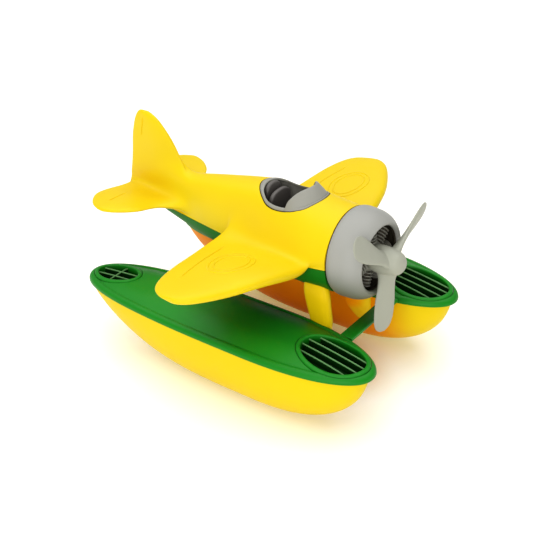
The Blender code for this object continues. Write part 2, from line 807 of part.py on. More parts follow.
# name, x of the seat's back, half width of the back, height of the back
SEATS = [("seat_rear", 8.0, 8.0, 128.6), ("seat_front", 16.5, 10.6, 126.6)]


def seat(name, x, half, top):
    """A seat with a cushion and an upright back with round shoulders."""
    floor = COCKPIT_FLOOR_Z + TUB_WALL + 2.0 * GAP
    outline = [(half, floor), (half, top - 5.0), (half * 0.8, top - 1.4), (half * 0.4, top)]
    outline += [(-y, z) for y, z in outline[::-1]]
    rings = [[(x + dx, y, z) for y, z in outline] for dx in (0.0, 2.2)]
    made = add_object(name, *loft(rings), "dark_grey")
    low = (x + 1.0, 0.8 - half, floor)
    high = (x + 8.0, half - 0.8, floor + 6.0)
    cushion = box(f"{name}_cushion", low, high, "dark_grey")
    boolean(made, helper(cushion), "UNION")
    return made


# Nose
COWL_PROFILE = [
    (COWL_X + GAP, COWL_R - 2.4),
    (COWL_X + GAP, COWL_R - 0.4),
    (COWL_X + 2.0, COWL_R + 0.4),
    (COWL_X + 9.0, COWL_R + 0.8),
    (COWL_X + 15.0, COWL_R + 0.2),
    (COWL_X + 19.5, COWL_R - 1.6),
    (COWL_X + 22.3, COWL_R - 4.0),
    (COWL_FRONT_X, COWL_MOUTH_R + 1.2),
    (COWL_FRONT_X - 0.6, COWL_MOUTH_R - 0.2),
    (COWL_FRONT_X - 3.0, COWL_MOUTH_R - 0.6),
    (COWL_FRONT_X - 6.0, COWL_MOUTH_R + 1.4),
    (COWL_X + 8.0, COWL_R - 2.6),
]

ENGINE_CYLINDERS = 7
CYLINDER_X = 79.2
CRANK_R = 9.0
CRANK_X = (COWL_X + GAP, 84.5)
SHAFT_R = 2.0
SHAFT_END_X = 99.0


def engine_cylinder(name, angle):
    """One finned radial cylinder, standing out from the crankcase."""
    sides = 8
    fins = 3
    profile = [(5.0, 3.2)]
    for k in range(fins):
        r = 11.0 + 3.4 * k
        profile += [(r, 3.2), (r, 4.6), (r + 1.1, 4.6), (r + 1.1, 3.2)]
    profile.append((22.6, 3.2))
    rings = []
    for r, wide in profile:
        ring = []
        for k in range(sides):
            turn = math.tau * k / sides
            across = wide * math.sin(turn)
            x = CYLINDER_X + wide * math.cos(turn)
            y = r * math.sin(angle) + across * math.cos(angle)
            z = COWL_Z + r * math.cos(angle) - across * math.sin(angle)
            ring.append((x, y, z))
        rings.append(ring)
    return helper(add_object(name, *loft(rings), "dark_grey"))


def engine():
    """Crankcase, shaft and a ring of finned cylinders, fused."""
    x0, x1 = CRANK_X
    profile = [(x0, 0.01), (x0, CRANK_R), (x1 - 3.0, CRANK_R), (x1, CRANK_R - 3.0)]
    profile += [(x1, SHAFT_R), (SHAFT_END_X, SHAFT_R), (SHAFT_END_X, 0.01)]
    made = add_object("engine", *turned_solid(profile, 20, COWL_Z), "dark_grey")
    for k in range(ENGINE_CYLINDERS):
        angle = math.tau * k / ENGINE_CYLINDERS
        boolean(made, engine_cylinder(f"cylinder_{k}", angle), "UNION")
    return made


def turned_solid(profile, sides, centre_z):
    """An open profile of (x, radius), whose first and last points lie on the axis, turned about X."""
    points = [(profile[0][0], 0.0, centre_z)]
    inner = profile[1:-1]
    for x, radius in inner:
        for s in range(sides):
            angle = math.tau * s / sides
            points.append((x, radius * math.sin(angle), centre_z + radius * math.cos(angle)))
    points.append((profile[-1][0], 0.0, centre_z))
    faces = []
    for s in range(sides):
        n = (s + 1) % sides
        faces.append((0, 1 + s, 1 + n))
        for k in range(len(inner) - 1):
            low = 1 + k * sides
            faces.append((low + s, low + sides + s, low + sides + n, low + n))
        last = 1 + (len(inner) - 1) * sides
        faces.append((len(points) - 1, last + n, last + s))
    return points, faces


# radius, chord, pitch in degrees, half thickness
BLADE = [
    (3.0, 9.0, 50.0, 2.6),
    (10.0, 9.8, 44.0, 2.4),
    (18.0, 12.2, 34.0, 2.0),
    (27.0, 14.8, 25.0, 1.7),
    (36.0, 16.2, 19.0, 1.5),
    (43.0, 15.2, 16.0, 1.2),
    (47.6, 10.6, 15.0, 0.9),
    (PROP_R, 4.8, 15.0, 0.6),
]


def blade(name, angle):
    """One paddle blade, twisted along its length."""
    rings = []
    sides = 8
    for r, chord, pitch, thick in BLADE:
        lean = math.radians(pitch)
        ring = []
        for k in range(sides):
            turn = math.tau * k / sides
            along = chord / 2.0 * math.cos(turn)
            out = thick * math.sin(turn)
            tangent = along * math.cos(lean) - out * math.sin(lean)
            x = PROP_X + along * math.sin(lean) + out * math.cos(lean)
            y = r * math.cos(angle) - tangent * math.sin(angle)
            z = PROP_Z + r * math.sin(angle) + tangent * math.cos(angle)
            ring.append((x, y, z))
        rings.append(ring)
    return helper(add_object(name, *loft(rings), "light_grey"))


HUB_PROFILE = [
    (87.2, 0.0),
    (87.2, 8.6),
    (90.0, 8.8),
    (94.0, 7.8),
    (99.0, 7.4),
    (104.0, 7.2),
    (107.0, 6.2),
    (108.6, 3.6),
    (109.0, 0.0),
]


def propeller():
    """Hub and three blades in one moulding, bored from behind for the shaft."""
    made = add_object("propeller", *turned_solid(HUB_PROFILE, 20, PROP_Z), "light_grey")
    for k in range(BLADES):
        boolean(made, blade(f"blade_{k}", math.radians(BLADE_START) + math.tau * k / BLADES), "UNION")
    bore = [(80.0, 0.0), (80.0, SHAFT_R + GAP), (SHAFT_END_X + GAP, SHAFT_R + GAP), (SHAFT_END_X + GAP, 0.0)]
    boolean(made, helper(add_object("shaft_bore", *turned_solid(bore, 20, PROP_Z), "light_grey")))
    return made


def move_origin(made, x, y, z):
    """Puts an object's origin at a place in millimetres, leaving its shape where it is."""
    place = np.array((x, y, z)) * MM
    for vertex in made.data.vertices:
        vertex.co = vertex.co - type(vertex.co)(place)
    made.location = place


SIDES = (("port", 1), ("starboard", -1))

for old in list(bpy.data.objects):
    bpy.data.objects.remove(old)
MATERIALS = {name: material(name) for name in COLOURS}

body = upper_body_cage().build("body_upper", "yellow", 1)
boolean(body, helper(cockpit_prism("cockpit_pocket", 0.0, COCKPIT_FLOOR_Z, 140.0)))
belly_cage().build("belly", "green", 2)
helper(belly_cage(GAP).build("belly_seat", "green", 2))
cockpit_tub()
windscreen()
for seat_row in SEATS:
    seat(*seat_row)
for hand, sign in SIDES:
    float_hull(f"float_hull_{hand}", sign)
    float_deck(f"float_deck_{hand}", sign)
    hull_seat(f"hull_seat_{hand}", sign)
    seat_points, seat_faces = deck_shape(GAP)
    helper(add_object(f"deck_seat_{hand}", beside(seat_points, sign), seat_faces, "green"))
    for leg_label in LEGS:
        leg(leg_label, hand, sign)
for bar_row in CROSSBARS:
    crossbar(*bar_row)
add_object("cowling", *turned(COWL_PROFILE, 32, COWL_Z), "light_grey")
engine()
prop = propeller()
move_origin(prop, PROP_X, 0.0, PROP_Z)
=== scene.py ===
"""Looks of the toy seaplane: finely shaped pieces, moulded plastics, floor, lights and camera.

The tables are in millimetres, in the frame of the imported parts: +X forward, +Y port, +Z up.
They become metres when a mesh is made.
"""

import math

import bmesh
import bpy
import numpy as np
from mathutils import Matrix, Vector
from mathutils.bvhtree import BVHTree


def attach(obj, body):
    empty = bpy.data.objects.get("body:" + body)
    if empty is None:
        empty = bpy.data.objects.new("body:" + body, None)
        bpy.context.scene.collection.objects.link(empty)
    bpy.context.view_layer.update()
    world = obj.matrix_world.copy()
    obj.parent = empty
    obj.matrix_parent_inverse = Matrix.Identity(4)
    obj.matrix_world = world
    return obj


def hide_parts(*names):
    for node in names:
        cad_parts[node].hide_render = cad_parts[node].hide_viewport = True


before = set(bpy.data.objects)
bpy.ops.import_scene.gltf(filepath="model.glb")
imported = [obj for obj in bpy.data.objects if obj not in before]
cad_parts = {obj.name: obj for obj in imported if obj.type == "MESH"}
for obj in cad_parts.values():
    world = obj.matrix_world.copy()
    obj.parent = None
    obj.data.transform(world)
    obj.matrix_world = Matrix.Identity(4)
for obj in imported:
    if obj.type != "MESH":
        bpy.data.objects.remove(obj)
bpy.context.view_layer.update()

MM = 0.001
GAP = 0.3

# Driving dimensions, in millimetres
FLOAT_Y = 51.6
FLOAT_STERN_X = -113.6
FLOAT_BOW_X = 119.2
FLOAT_MIDDLE_X = (FLOAT_BOW_X + FLOAT_STERN_X) / 2.0
FLOAT_REACH = (FLOAT_BOW_X - FLOAT_STERN_X) / 2.0
FLOAT_HALF_WIDTH = 28.8
FLOAT_WIDEST_X = 38.0
DECK_EDGE_Z = 52.5
DECK_RIM = 4.2
DECK_ROUND = 3.5
DECK_LIP = 5.6
DECK_CROWN = 3.6
CROWN_FULL_WIDTH = 27.5
CROWN_FLAT_SHARE = 0.3
HULL_WALL = 2.0
HULL_STERN_X = -111.0
HULL_BOW_X = 114.8
HULL_INSET = 0.5
HULL_LEAST_WIDE = 0.3
HULL_LEAST_DEEP = 0.5
KEEL_FLAT = (4.0, 40.0)
KEEL_BOW_RISE = 46.4
KEEL_BOW_POWERS = (2.6, 0.555)
KEEL_STERN_RISE = 43.0
KEEL_STERN_POWER = 2.8
HULL_ROUND = 2.1
HULL_ROUND_STERN_LOSS = 0.45
HULL_ROUND_BOW_LOSS = 0.35
HULL_REACH_SHARE = 0.998
HULL_INNER_SHARE = 0.98
PLAN_BOW_POWERS = (2.2, 0.48)
PLAN_STERN_POWERS = (3.2, 0.46)
BOW_FALL_FROM_X = 36.0
BOW_FALL = 1.6
STERN_FALL_FROM_X = -30.0
STERN_FALL = 2.8
SEAM_Z = 88.3
SEAM_RISE = 6.4
SEAM_RISE_FROM_X = -30.0
SEAM_RISE_POWER = 1.6
COWL_X = 68.6
AXIS_Z = 96.8
COWL_R = 28.8
COWL_FRONT_X = 92.0
COWL_MOUTH_R = 22.0
PROP_X = 97.0
PROP_R = 49.5
BLADES = 3
BLADE_START = 23.5
SIDES = (("port", 1), ("starboard", -1))

# Materials

# Openness between which a plastic turns from its painted shade colour to its own, and how far away a piece
# still shades it
OPEN_SHARES = (0.3, 0.85)
SHADE_REACH = 0.05
# Where a plastic turns from its painted shade colour, in metres
HULL_INNER_Y = (0.034, 0.047)
HULL_FORWARD_X = (0.066, 0.100)
LEG_INNER_Y = (0.0165, 0.0215)
UNDERSIDE_Z = (0.070, 0.104)
# scale, detail
MOTTLE = (45.0, 3.0)
GRAIN = (1400.0, 2.0)
PATCHES = (160.0, 4.0)
GRAIN_BUMP = {"Strength": 0.25, "Distance": 0.00006}
UNEVEN_GLOSS = 0.07


def feed(tree, made, inputs):
    """Gives a node's inputs their values, or links them to other nodes' outputs."""
    for socket, value in inputs.items():
        if isinstance(value, bpy.types.NodeSocket):
            tree.links.new(value, made.inputs[socket])
        else:
            made.inputs[socket].default_value = value


def mapped(tree, value, low, high, to_low=0.0, to_high=1.0, kind="LINEAR"):
    """A value brought from one range to another."""
    made = tree.nodes.new("ShaderNodeMapRange")
    made.interpolation_type = kind
    feed(tree, made, {"Value": value, "From Min": low, "From Max": high, "To Min": to_low, "To Max": to_high})
    return made.outputs["Result"]


def calculated(tree, operation, *values):
    """The result of one operation on values."""
    made = tree.nodes.new("ShaderNodeMath")
    made.operation = operation
    feed(tree, made, dict(enumerate(values)))
    return made.outputs["Value"]


def mixed(tree, factor, low, high):
    """A colour between two others."""
    made = tree.nodes.new("ShaderNodeMix")
    made.data_type = "RGBA"
    feed(tree, made, {"Factor": factor, "A": low, "B": high})
    return made.outputs["Result"]


def noise(tree, place, scale, detail):
    """Soft random patches of a size."""
    made = tree.nodes.new("ShaderNodeTexNoise")
    feed(tree, made, {"Vector": place, "Scale": scale, "Detail": detail})
    return made.outputs["Fac"]


def coordinate(tree, place, axis):
    """One coordinate of a place."""
    made = tree.nodes.new("ShaderNodeSeparateXYZ")
    feed(tree, made, {"Vector": place})
    return made.outputs[axis]


def open_places(tree, place):
    """1 where a surface is open, 0 where other pieces stand close to it and the plastic gets its painted
    shade.
    """
    openness = tree.nodes.new("ShaderNodeAmbientOcclusion")
    feed(tree, openness, {"Distance": SHADE_REACH})
    return mapped(tree, openness.outputs["AO"], *OPEN_SHARES)


def between(tree, value, low, high):
    """0 up to a low value, 1 from a high value on."""
    return mapped(tree, value, low, high, kind="SMOOTHSTEP")


def away_from_middle(tree, place, low, high):
    """0 near the toy's middle plane, 1 far from it, on both sides."""
    return between(tree, calculated(tree, "ABSOLUTE", coordinate(tree, place, "Y")), low, high)


def hull_sides(tree, place):
    """1 on the outer side and the bow of a float, 0 on its inner side, where the float gets its painted
    shade.
    """
    bow = between(tree, coordinate(tree, place, "X"), *HULL_FORWARD_X)
    return calculated(tree, "MAXIMUM", away_from_middle(tree, place, *HULL_INNER_Y), bow)


def leg_sides(tree, place):
    """1 on the outer side of a leg, 0 on its inner side, where the leg gets its painted shade."""
    return away_from_middle(tree, place, *LEG_INNER_Y)


def upper_sides(tree, place):
    """1 on the upper part of the nose, 0 towards its underside, where the painted shade goes."""
    return between(tree, coordinate(tree, place, "Z"), *UNDERSIDE_Z)


# name: colour, second colour of the mottle, deeper colour painted as shade, roughness, specular level,
# places that keep the first two colours where these aren't the open ones
PLASTICS = {
    "yellow": ((0.73, 0.53, 0.001), (0.70, 0.50, 0.001), (0.72, 0.46, 0.001), 0.46, 0.16),
    # The floats' deeper orange is painted shade on their inner sides
    "float_yellow": ((0.73, 0.53, 0.001), (0.70, 0.50, 0.001), (0.80, 0.25, 0.0002), 0.46, 0.08, hull_sides),
    # The legs' deeper orange is painted shade on their inner sides
    "leg_yellow": ((0.73, 0.50, 0.001), (0.70, 0.47, 0.001), (0.80, 0.27, 0.0002), 0.46, 0.08, leg_sides),
    "green": ((0.005, 0.195, 0.006), (0.004, 0.175, 0.005), (0.001, 0.080, 0.001), 0.44, 0.18),
    # A lighter green for the slats' top edges: a painted highlight
    "slat_green": ((0.15, 0.34, 0.13), (0.13, 0.31, 0.11), (0.09, 0.24, 0.07), 0.46, 0.20),
    "belly_green": ((0.006, 0.145, 0.005), (0.005, 0.130, 0.004), (0.004, 0.090, 0.002), 0.48, 0.12),
    # A near-black green for the vents' pits and the slats' sides: painted shade
    "pit_green": ((0.001, 0.045, 0.001), (0.001, 0.036, 0.001), (0.0005, 0.018, 0.0005), 0.60, 0.06),
    # The cowl's deeper colour is painted shade on its underside
    "cowl_grey": ((0.315, 0.315, 0.29), (0.295, 0.295, 0.27), (0.11, 0.12, 0.075), 0.46, 0.22, upper_sides),
    "coaming_grey": ((0.27, 0.268, 0.235), (0.25, 0.248, 0.215), (0.17, 0.165, 0.13), 0.46, 0.22),
    "blade_grey": ((0.33, 0.335, 0.27), (0.31, 0.315, 0.255), (0.25, 0.255, 0.20), 0.46, 0.22),
    "dark_grey": ((0.095, 0.087, 0.080), (0.085, 0.078, 0.071), (0.052, 0.046, 0.041), 0.46, 0.26),
    "tub_grey": ((0.20, 0.195, 0.165), (0.185, 0.18, 0.15), (0.12, 0.115, 0.095), 0.48, 0.20),
    "engine_dark": ((0.090, 0.080, 0.056), (0.080, 0.070, 0.048), (0.045, 0.038, 0.025), 0.50, 0.20),
    "fin_grey": ((0.42, 0.42, 0.36), (0.38, 0.38, 0.33), (0.16, 0.155, 0.125), 0.42, 0.40),
    "gear_grey": ((0.27, 0.27, 0.22), (0.25, 0.25, 0.205), (0.10, 0.098, 0.075), 0.46, 0.22),
    # A near-black brown for gaps and grooves: painted shadow
    "gap_brown": ((0.030, 0.018, 0.004), (0.024, 0.014, 0.003), (0.010, 0.006, 0.002), 0.60, 0.05),
}


def plastic(name, colour, second, deep, roughness, gloss, kept=open_places):
    """A satin moulded plastic: slow mottle, a deeper colour painted as shade in places, fine grain, uneven
    gloss.
    """
    made = bpy.data.materials.new(name)
    made.use_nodes = True
    tree = made.node_tree
    place = tree.nodes.new("ShaderNodeTexCoord").outputs["Object"]
    mottle = mixed(tree, noise(tree, place, *MOTTLE), (*colour, 1.0), (*second, 1.0))
    patches = noise(tree, place, *PATCHES)
    bump = tree.nodes.new("ShaderNodeBump")
    feed(tree, bump, {"Height": noise(tree, place, *GRAIN), **GRAIN_BUMP})
    looks = {
        # Painted shade: the deeper colour goes where kept gives 0, near other pieces or on the shaded sides
        # it names
        "Base Color": mixed(tree, kept(tree, place), (*deep, 1.0), mottle),
        "Roughness": mapped(tree, patches, 0.0, 1.0, roughness - UNEVEN_GLOSS, roughness + UNEVEN_GLOSS),
        "Specular IOR Level": gloss,
        "Normal": bump.outputs["Normal"],
    }
    feed(tree, tree.nodes["Principled BSDF"], looks)
    return made


MATERIALS = {name: plastic(name, *row) for name, row in PLASTICS.items()}


# Mesh helpers

# Angles above which an edge stays sharp, in degrees
SMOOTH_DEG = 35.0
ROUND_DEG = 50.0
HULL_DEG = 60.0
ENGINE_DEG = 30.0
ALL_ROUND_DEG = 180.0


def put_object(name, data):
    """A new object in the scene."""
    made = bpy.data.objects.new(name, data)
    bpy.context.scene.collection.objects.link(made)
    return made


def add_mesh(name, points, faces, colour, smooth_deg=SMOOTH_DEG):
    """A mesh object from points in millimetres, with its faces turned outwards."""
    mesh = bpy.data.meshes.new(name)
    mesh.from_pydata([tuple(np.asarray(p, float) * MM) for p in points], [], [tuple(f) for f in faces])
    mesh.materials.append(MATERIALS[colour])
    shape = bmesh.new()
    shape.from_mesh(mesh)
    bmesh.ops.recalc_face_normals(shape, faces=shape.faces)
    shape.to_mesh(mesh)
    shape.free()
    made = put_object(name, mesh)
    smooth(made, smooth_deg)
    return made


def smooth(made, smooth_deg=SMOOTH_DEG):
    """Smooth shading with sharp edges above an angle."""
    made.data.shade_smooth()
    made.data.set_sharp_from_angle(angle=math.radians(smooth_deg))


def settle(made, smooth_deg=SMOOTH_DEG):
    """Turns a piece's modifiers into mesh."""
    bpy.context.view_layer.update()
    seen = made.evaluated_get(bpy.context.evaluated_depsgraph_get())
    made.data = bpy.data.meshes.new_from_object(seen)
    made.modifiers.clear()
    smooth(made, smooth_deg)
    return made


def cut(made, cutter):
    """Cuts a helper shape out of a piece, exactly, and takes the helper away."""
    step = made.modifiers.new("cut", "BOOLEAN")
    step.operation = "DIFFERENCE"
    step.solver = "EXACT"
    step.object = cutter
    settle(made)
    bpy.data.objects.remove(cutter)
    return made


def soften(made, width, segments=3, limit_deg=30.0):
    """Rounds a piece's sharp edges."""
    step = made.modifiers.new("soften", "BEVEL")
    step.width = width * MM
    step.segments = segments
    step.limit_method = "ANGLE"
    step.angle_limit = math.radians(limit_deg)
    return settle(made)


def join(name, parts):
    """One object from several, each with its own material kept."""
    slots = []
    shape = bmesh.new()
    for part in parts:
        used = part.data.materials[0]
        if used not in slots:
            slots.append(used)
        start = len(shape.faces)
        shape.from_mesh(part.data)
        shape.faces.ensure_lookup_table()
        for face in shape.faces[start:]:
            face.material_index = slots.index(used)
    mesh = bpy.data.meshes.new(name)
    shape.to_mesh(mesh)
    shape.free()
    for used in slots:
        mesh.materials.append(used)
    made = put_object(name, mesh)
    for part in parts:
        bpy.data.objects.remove(part)
    return made


def quads(levels, count, closed_ring=True, closed_loop=False, start=0):
    """Faces between neighbours in a row of rings or open sections, each with a count of points."""
    faces = []
    for level in range(levels if closed_loop else levels - 1):
        low = start + level * count
        high = start + (level + 1) % levels * count
        for k in range(count if closed_ring else count - 1):
            n = (k + 1) % count
            faces.append((low + k, low + n, high + n, high + k))
    return faces


def loft(rings, closed_ends=True, closed_loop=False):
    """Points and faces of a tube through rings of equal length, with end caps or closed on itself."""
    count = len(rings[0])
    points = [p for ring in rings for p in ring]
    faces = quads(len(rings), count, closed_loop=closed_loop)
    if closed_ends and not closed_loop:
        faces.append(tuple(range(count))[::-1])
        faces.append(tuple(range(len(points) - count, len(points))))
    return points, faces


def circle(sides):
    """Cosine and sine at even steps round a circle."""
    angles = [math.tau * k / sides for k in range(sides)]
    return [(math.cos(a), math.sin(a)) for a in angles]


def turned(profile, sides):
    """A profile of (x, radius) turned about the fuselage's axis; a radius of 0 closes an end."""
    return [[(x, r * s, AXIS_Z + r * c) for c, s in circle(sides)] for x, r in profile]


def mirrored(port):
    """A closed outline from its port half, which starts and ends on the middle line."""
    return [*port, *[(x, -y, *z) for x, y, *z in port[-2:0:-1]]]


def hermite(keys, rows, wanted):
    """Rows of numbers at the wanted places, on a smooth curve through the given rows."""
    keys = np.asarray(keys, float)
    rows = np.asarray(rows, float)
    slopes = np.gradient(rows, keys, axis=0)
    made = []
    for place in wanted:
        k = int(np.clip(np.searchsorted(keys, place) - 1, 0, len(keys) - 2))
        step = keys[k + 1] - keys[k]
        s = (place - keys[k]) / step
        at_start = (2.0 * s**3 - 3.0 * s**2 + 1.0) * rows[k] + (s**3 - 2.0 * s**2 + s) * step * slopes[k]
        at_end = (3.0 * s**2 - 2.0 * s**3) * rows[k + 1] + (s**3 - s**2) * step * slopes[k + 1]
        made.append(at_start + at_end)
    return np.array(made)


def smooth_path(rows, per_step):
    """A denser path of points on a smooth curve through an open list of points."""
    rows = np.asarray(rows, float)
    along = np.concatenate([[0.0], np.cumsum(np.linalg.norm(np.diff(rows, axis=0), axis=1))])
    wanted = []
    for a, b in zip(along, along[1:]):
        wanted += [a + (b - a) * k / per_step for k in range(per_step)]
    return hermite(along, rows, [*wanted, along[-1]])


def even_ring(ring, count):
    """Points at equal distances around a closed outline."""
    ring = np.asarray([*ring, ring[0]], float)
    along = np.concatenate([[0.0], np.cumsum(np.linalg.norm(np.diff(ring, axis=0), axis=1))])
    wanted = np.arange(count) * along[-1] / count
    return np.stack([np.interp(wanted, along, ring[:, c]) for c in range(ring.shape[1])], axis=1)


# Catmull-Clark cages whose smooth surface passes through the points that are given

SOLVE_ROUNDS = 14
SOLVE_SHARE = 0.9
CAGE_LEVELS = 3
CAGE_SMOOTH_DEG = 40.0


class Cage:
    """Control cage for a subdivision surface, with sharp edges listed as vertex pairs."""

    def __init__(self):
        self.points = []
        self.faces = []
        self.sharp = set()

    def point(self, xyz):
        self.points.append(tuple(float(v) for v in xyz))
        return len(self.points) - 1

    def strip(self, row_a, row_b, closed=False):
        """Quads between two rows of point numbers."""
        pairs = len(row_a) if closed else len(row_a) - 1
        for k in range(pairs):
            n = (k + 1) % len(row_a)
            self.faces.append((row_a[k], row_a[n], row_b[n], row_b[k]))

    def tube(self, halves):
        """Rings of points through sections that are each given as a port half, crown to floor."""
        rings = []
        for half in halves:
            rings.append([self.point(place) for place in mirrored(half)])
        for a, b in zip(rings, rings[1:]):
            self.strip(a, b, closed=True)
        return rings

    def crease(self, row, closed=False):
        """Makes the edges along a row sharp."""
        pairs = len(row) if closed else len(row) - 1
        for k in range(pairs):
            self.sharp.add(frozenset((row[k], row[(k + 1) % len(row)])))

    def grow(self, grid, levels):
        """Pulls the patch of faces on a grid of point numbers out through levels of grids of places."""
        rows = len(grid)
        columns = len(grid[0])
        cells = [(r, c) for r in range(rows - 1) for c in range(columns - 1)]
        patch = [{grid[r][c], grid[r][c + 1], grid[r + 1][c + 1], grid[r + 1][c]} for r, c in cells]
        self.faces = [face for face in self.faces if set(face) not in patch]
        rim = [(r, 0) for r in range(rows)]
        rim += [(rows - 1, c) for c in range(1, columns)]
        rim += [(r, columns - 1) for r in range(rows - 2, -1, -1)]
        rim += [(0, c) for c in range(columns - 2, 0, -1)]
        below = [grid[r][c] for r, c in rim]
        for places in levels:
            made = {(r, c): self.point(places[r][c]) for r, c in rim}
            self.strip(below, list(made.values()), closed=True)
            below = list(made.values())
        for r in range(rows):
            for c in range(columns):
                if (r, c) not in made:
                    made[(r, c)] = self.point(levels[-1][r][c])
        for r, c in cells:
            self.faces.append((made[(r, c)], made[(r, c + 1)], made[(r + 1, c + 1)], made[(r + 1, c)]))

    def limit(self, points):
        """Where the smooth surface meets each control point."""
        edges_of = [set() for _ in points]
        face_sum = np.zeros_like(points)
        for face in self.faces:
            size = len(face)
            centre = points[list(face)].mean(axis=0)
            for k in range(size):
                a = face[k]
                b = face[(k + 1) % size]
                edges_of[a].add(b)
                edges_of[b].add(a)
                face_sum[a] += centre
        out = points.copy()
        for v, others in enumerate(edges_of):
            sharp = [o for o in others if frozenset((v, o)) in self.sharp]
            count = len(others)
            if len(sharp) > 2:
                continue
            if len(sharp) == 2:
                out[v] = (4.0 * points[v] + points[sharp[0]] + points[sharp[1]]) / 6.0
                continue
            middles = sum(points[o] + points[v] for o in others) / 2.0
            around = 4.0 * middles + 4.0 * face_sum[v] + (count * count - 3.0 * count) * points[v]
            out[v] = around / (count * (count + 5.0))
        return out

    def drop_unused(self):
        """Takes out points that no face uses, such as those under a patch that grew."""
        used = sorted({v for face in self.faces for v in face})
        renumber = {old: new for new, old in enumerate(used)}
        self.points = [self.points[v] for v in used]
        self.faces = [tuple(renumber[v] for v in face) for face in self.faces]
        pairs = [pair for pair in self.sharp if pair <= renumber.keys()]
        self.sharp = {frozenset(renumber[v] for v in pair) for pair in pairs}

    def solve(self):
        """Moves the control points until the smooth surface passes through their given places."""
        self.drop_unused()
        wanted = np.array(self.points)
        points = wanted.copy()
        for _ in range(SOLVE_ROUNDS):
            points += SOLVE_SHARE * (wanted - self.limit(points))
        self.points = [tuple(p) for p in points]

    def build(self, name, colour):
        """The smooth surface of the cage as a mesh."""
        made = add_mesh(name, self.points, self.faces, colour)
        shape = bmesh.new()
        shape.from_mesh(made.data)
        layer = shape.edges.layers.float.new("crease_edge")
        for edge in shape.edges:
            if frozenset(v.index for v in edge.verts) in self.sharp:
                edge[layer] = 1.0
        shape.to_mesh(made.data)
        shape.free()
        step = made.modifiers.new("smooth", "SUBSURF")
        step.levels = CAGE_LEVELS
        step.render_levels = CAGE_LEVELS
        return settle(made, CAGE_SMOOTH_DEG)


# Fuselage, wings, tail and fin in one moulding
# x, top z, shoulder (y, z), strip top (y, z), strip bottom (y, z), half width at the seam
FUSELAGE = [
    (68.6, 125.1, 16.5, 119.9, 27.3, 106.0, 28.8, 96.8, 28.7),
    (57.5, 126.4, 16.8, 120.4, 28.5, 101.6, 29.1, 94.7, 29.0),
    (45.0, 127.6, 16.6, 121.5, 27.5, 103.2, 28.5, 93.5, 28.3),
    (32.0, 128.4, 15.8, 122.4, 26.0, 103.4, 27.2, 92.7, 27.0),
    (16.0, 128.6, 14.8, 122.6, 24.2, 102.4, 25.4, 91.7, 25.2),
    (2.0, 127.4, 13.4, 121.4, 22.0, 101.4, 23.2, 91.0, 23.0),
    (-13.0, 125.0, 12.0, 119.3, 19.4, 100.2, 20.3, 90.4, 20.1),
    (-21.0, 123.4, 11.2, 118.0, 17.6, 99.8, 18.2, 90.4, 18.0),
    (-42.0, 119.4, 9.0, 114.6, 13.8, 99.4, 14.3, 90.4, 14.1),
    (-60.0, 116.5, 6.8, 112.3, 10.4, 98.6, 10.9, 90.6, 10.7),
    (-80.0, 113.4, 4.6, 109.8, 7.0, 97.8, 7.4, 90.8, 7.2),
    (-96.0, 112.0, 3.4, 108.0, 4.9, 97.8, 5.3, 91.0, 5.2),
    (-114.4, 110.6, 2.2, 107.0, 3.2, 98.0, 3.4, 91.6, 3.2),
]
TAIL_X = -119.6
# Tail end, crown to floor: how far ahead of TAIL_X, half width, z
TAIL_END = [
    (4.2, 0.0, 107.8),
    (3.9, 1.1, 104.6),
    (2.2, 1.6, 98.6),
    (0.6, 1.6, 94.2),
    (0.4, 1.4, 91.0),
    (0.5, 0.0, 90.6),
]

# half span, leading (x, z), trailing (x, z), half thickness
WING_RIBS = [
    (36.0, 55.8, 92.6, -15.2, 92.4, 5.0),
    (62.9, 52.4, 98.4, -10.2, 96.2, 4.7),
    (85.7, 44.0, 99.9, -6.8, 98.6, 4.0),
    (102.9, 33.6, 100.2, -2.2, 99.6, 3.2),
    (111.0, 25.6, 100.1, 4.0, 99.9, 2.4),
    (113.6, 20.2, 99.9, 9.4, 99.9, 1.2),
]
# share of the chord, share of the half thickness
WING_CHORD = [(0.015, 0.52), (0.14, 0.98), (0.34, 1.0), (0.58, 0.8), (0.8, 0.52), (0.985, 0.22)]

TAIL_RIBS = [
    (20.0, -75.0, 94.6, -120.4, 96.4, 2.8),
    (34.0, -79.0, 97.0, -120.4, 97.9, 2.4),
    (43.0, -85.2, 98.0, -115.2, 98.3, 2.1),
    (48.2, -92.6, 98.2, -109.4, 98.4, 1.6),
    (50.3, -98.6, 98.2, -104.4, 98.3, 0.9),
]
TAIL_CHORD = [(0.02, 0.5), (0.34, 1.0), (0.7, 0.8), (0.975, 0.3)]

# z, leading x, trailing x, half thickness
FIN_RIBS = [
    (121.0, -67.6, -113.7, 3.1),
    (132.0, -74.2, -112.3, 2.8),
    (142.5, -81.8, -109.7, 2.5),
    (150.0, -89.4, -106.4, 2.1),
    (153.15, -95.2, -103.2, 1.1),
]
FIN_CHORD = [(0.02, 0.45), (0.33, 1.0), (0.68, 0.85), (0.98, 0.4)]
FIN_NOSE = 0.7
FIN_HEEL = -0.6


def seam_height(x):
    """Height of the line where the yellow top meets the green bottom; it rises towards the cowl."""
    share = max(0.0, (x - SEAM_RISE_FROM_X) / (COWL_X - SEAM_RISE_FROM_X))
    return SEAM_Z + SEAM_RISE * share**SEAM_RISE_POWER


def rib_grid(rib, chord, side):
    """Upper and lower places along the chord of one wing or tailplane rib."""
    y, leading_x, leading_z, trailing_x, trailing_z, thick = rib
    rows = []
    for share, depth in chord:
        x = leading_x + (trailing_x - leading_x) * share
        middle = leading_z + (trailing_z - leading_z) * share
        rows.append([(x, side * y, middle + thick * depth), (x, side * y, middle - thick * depth)])
    return rows


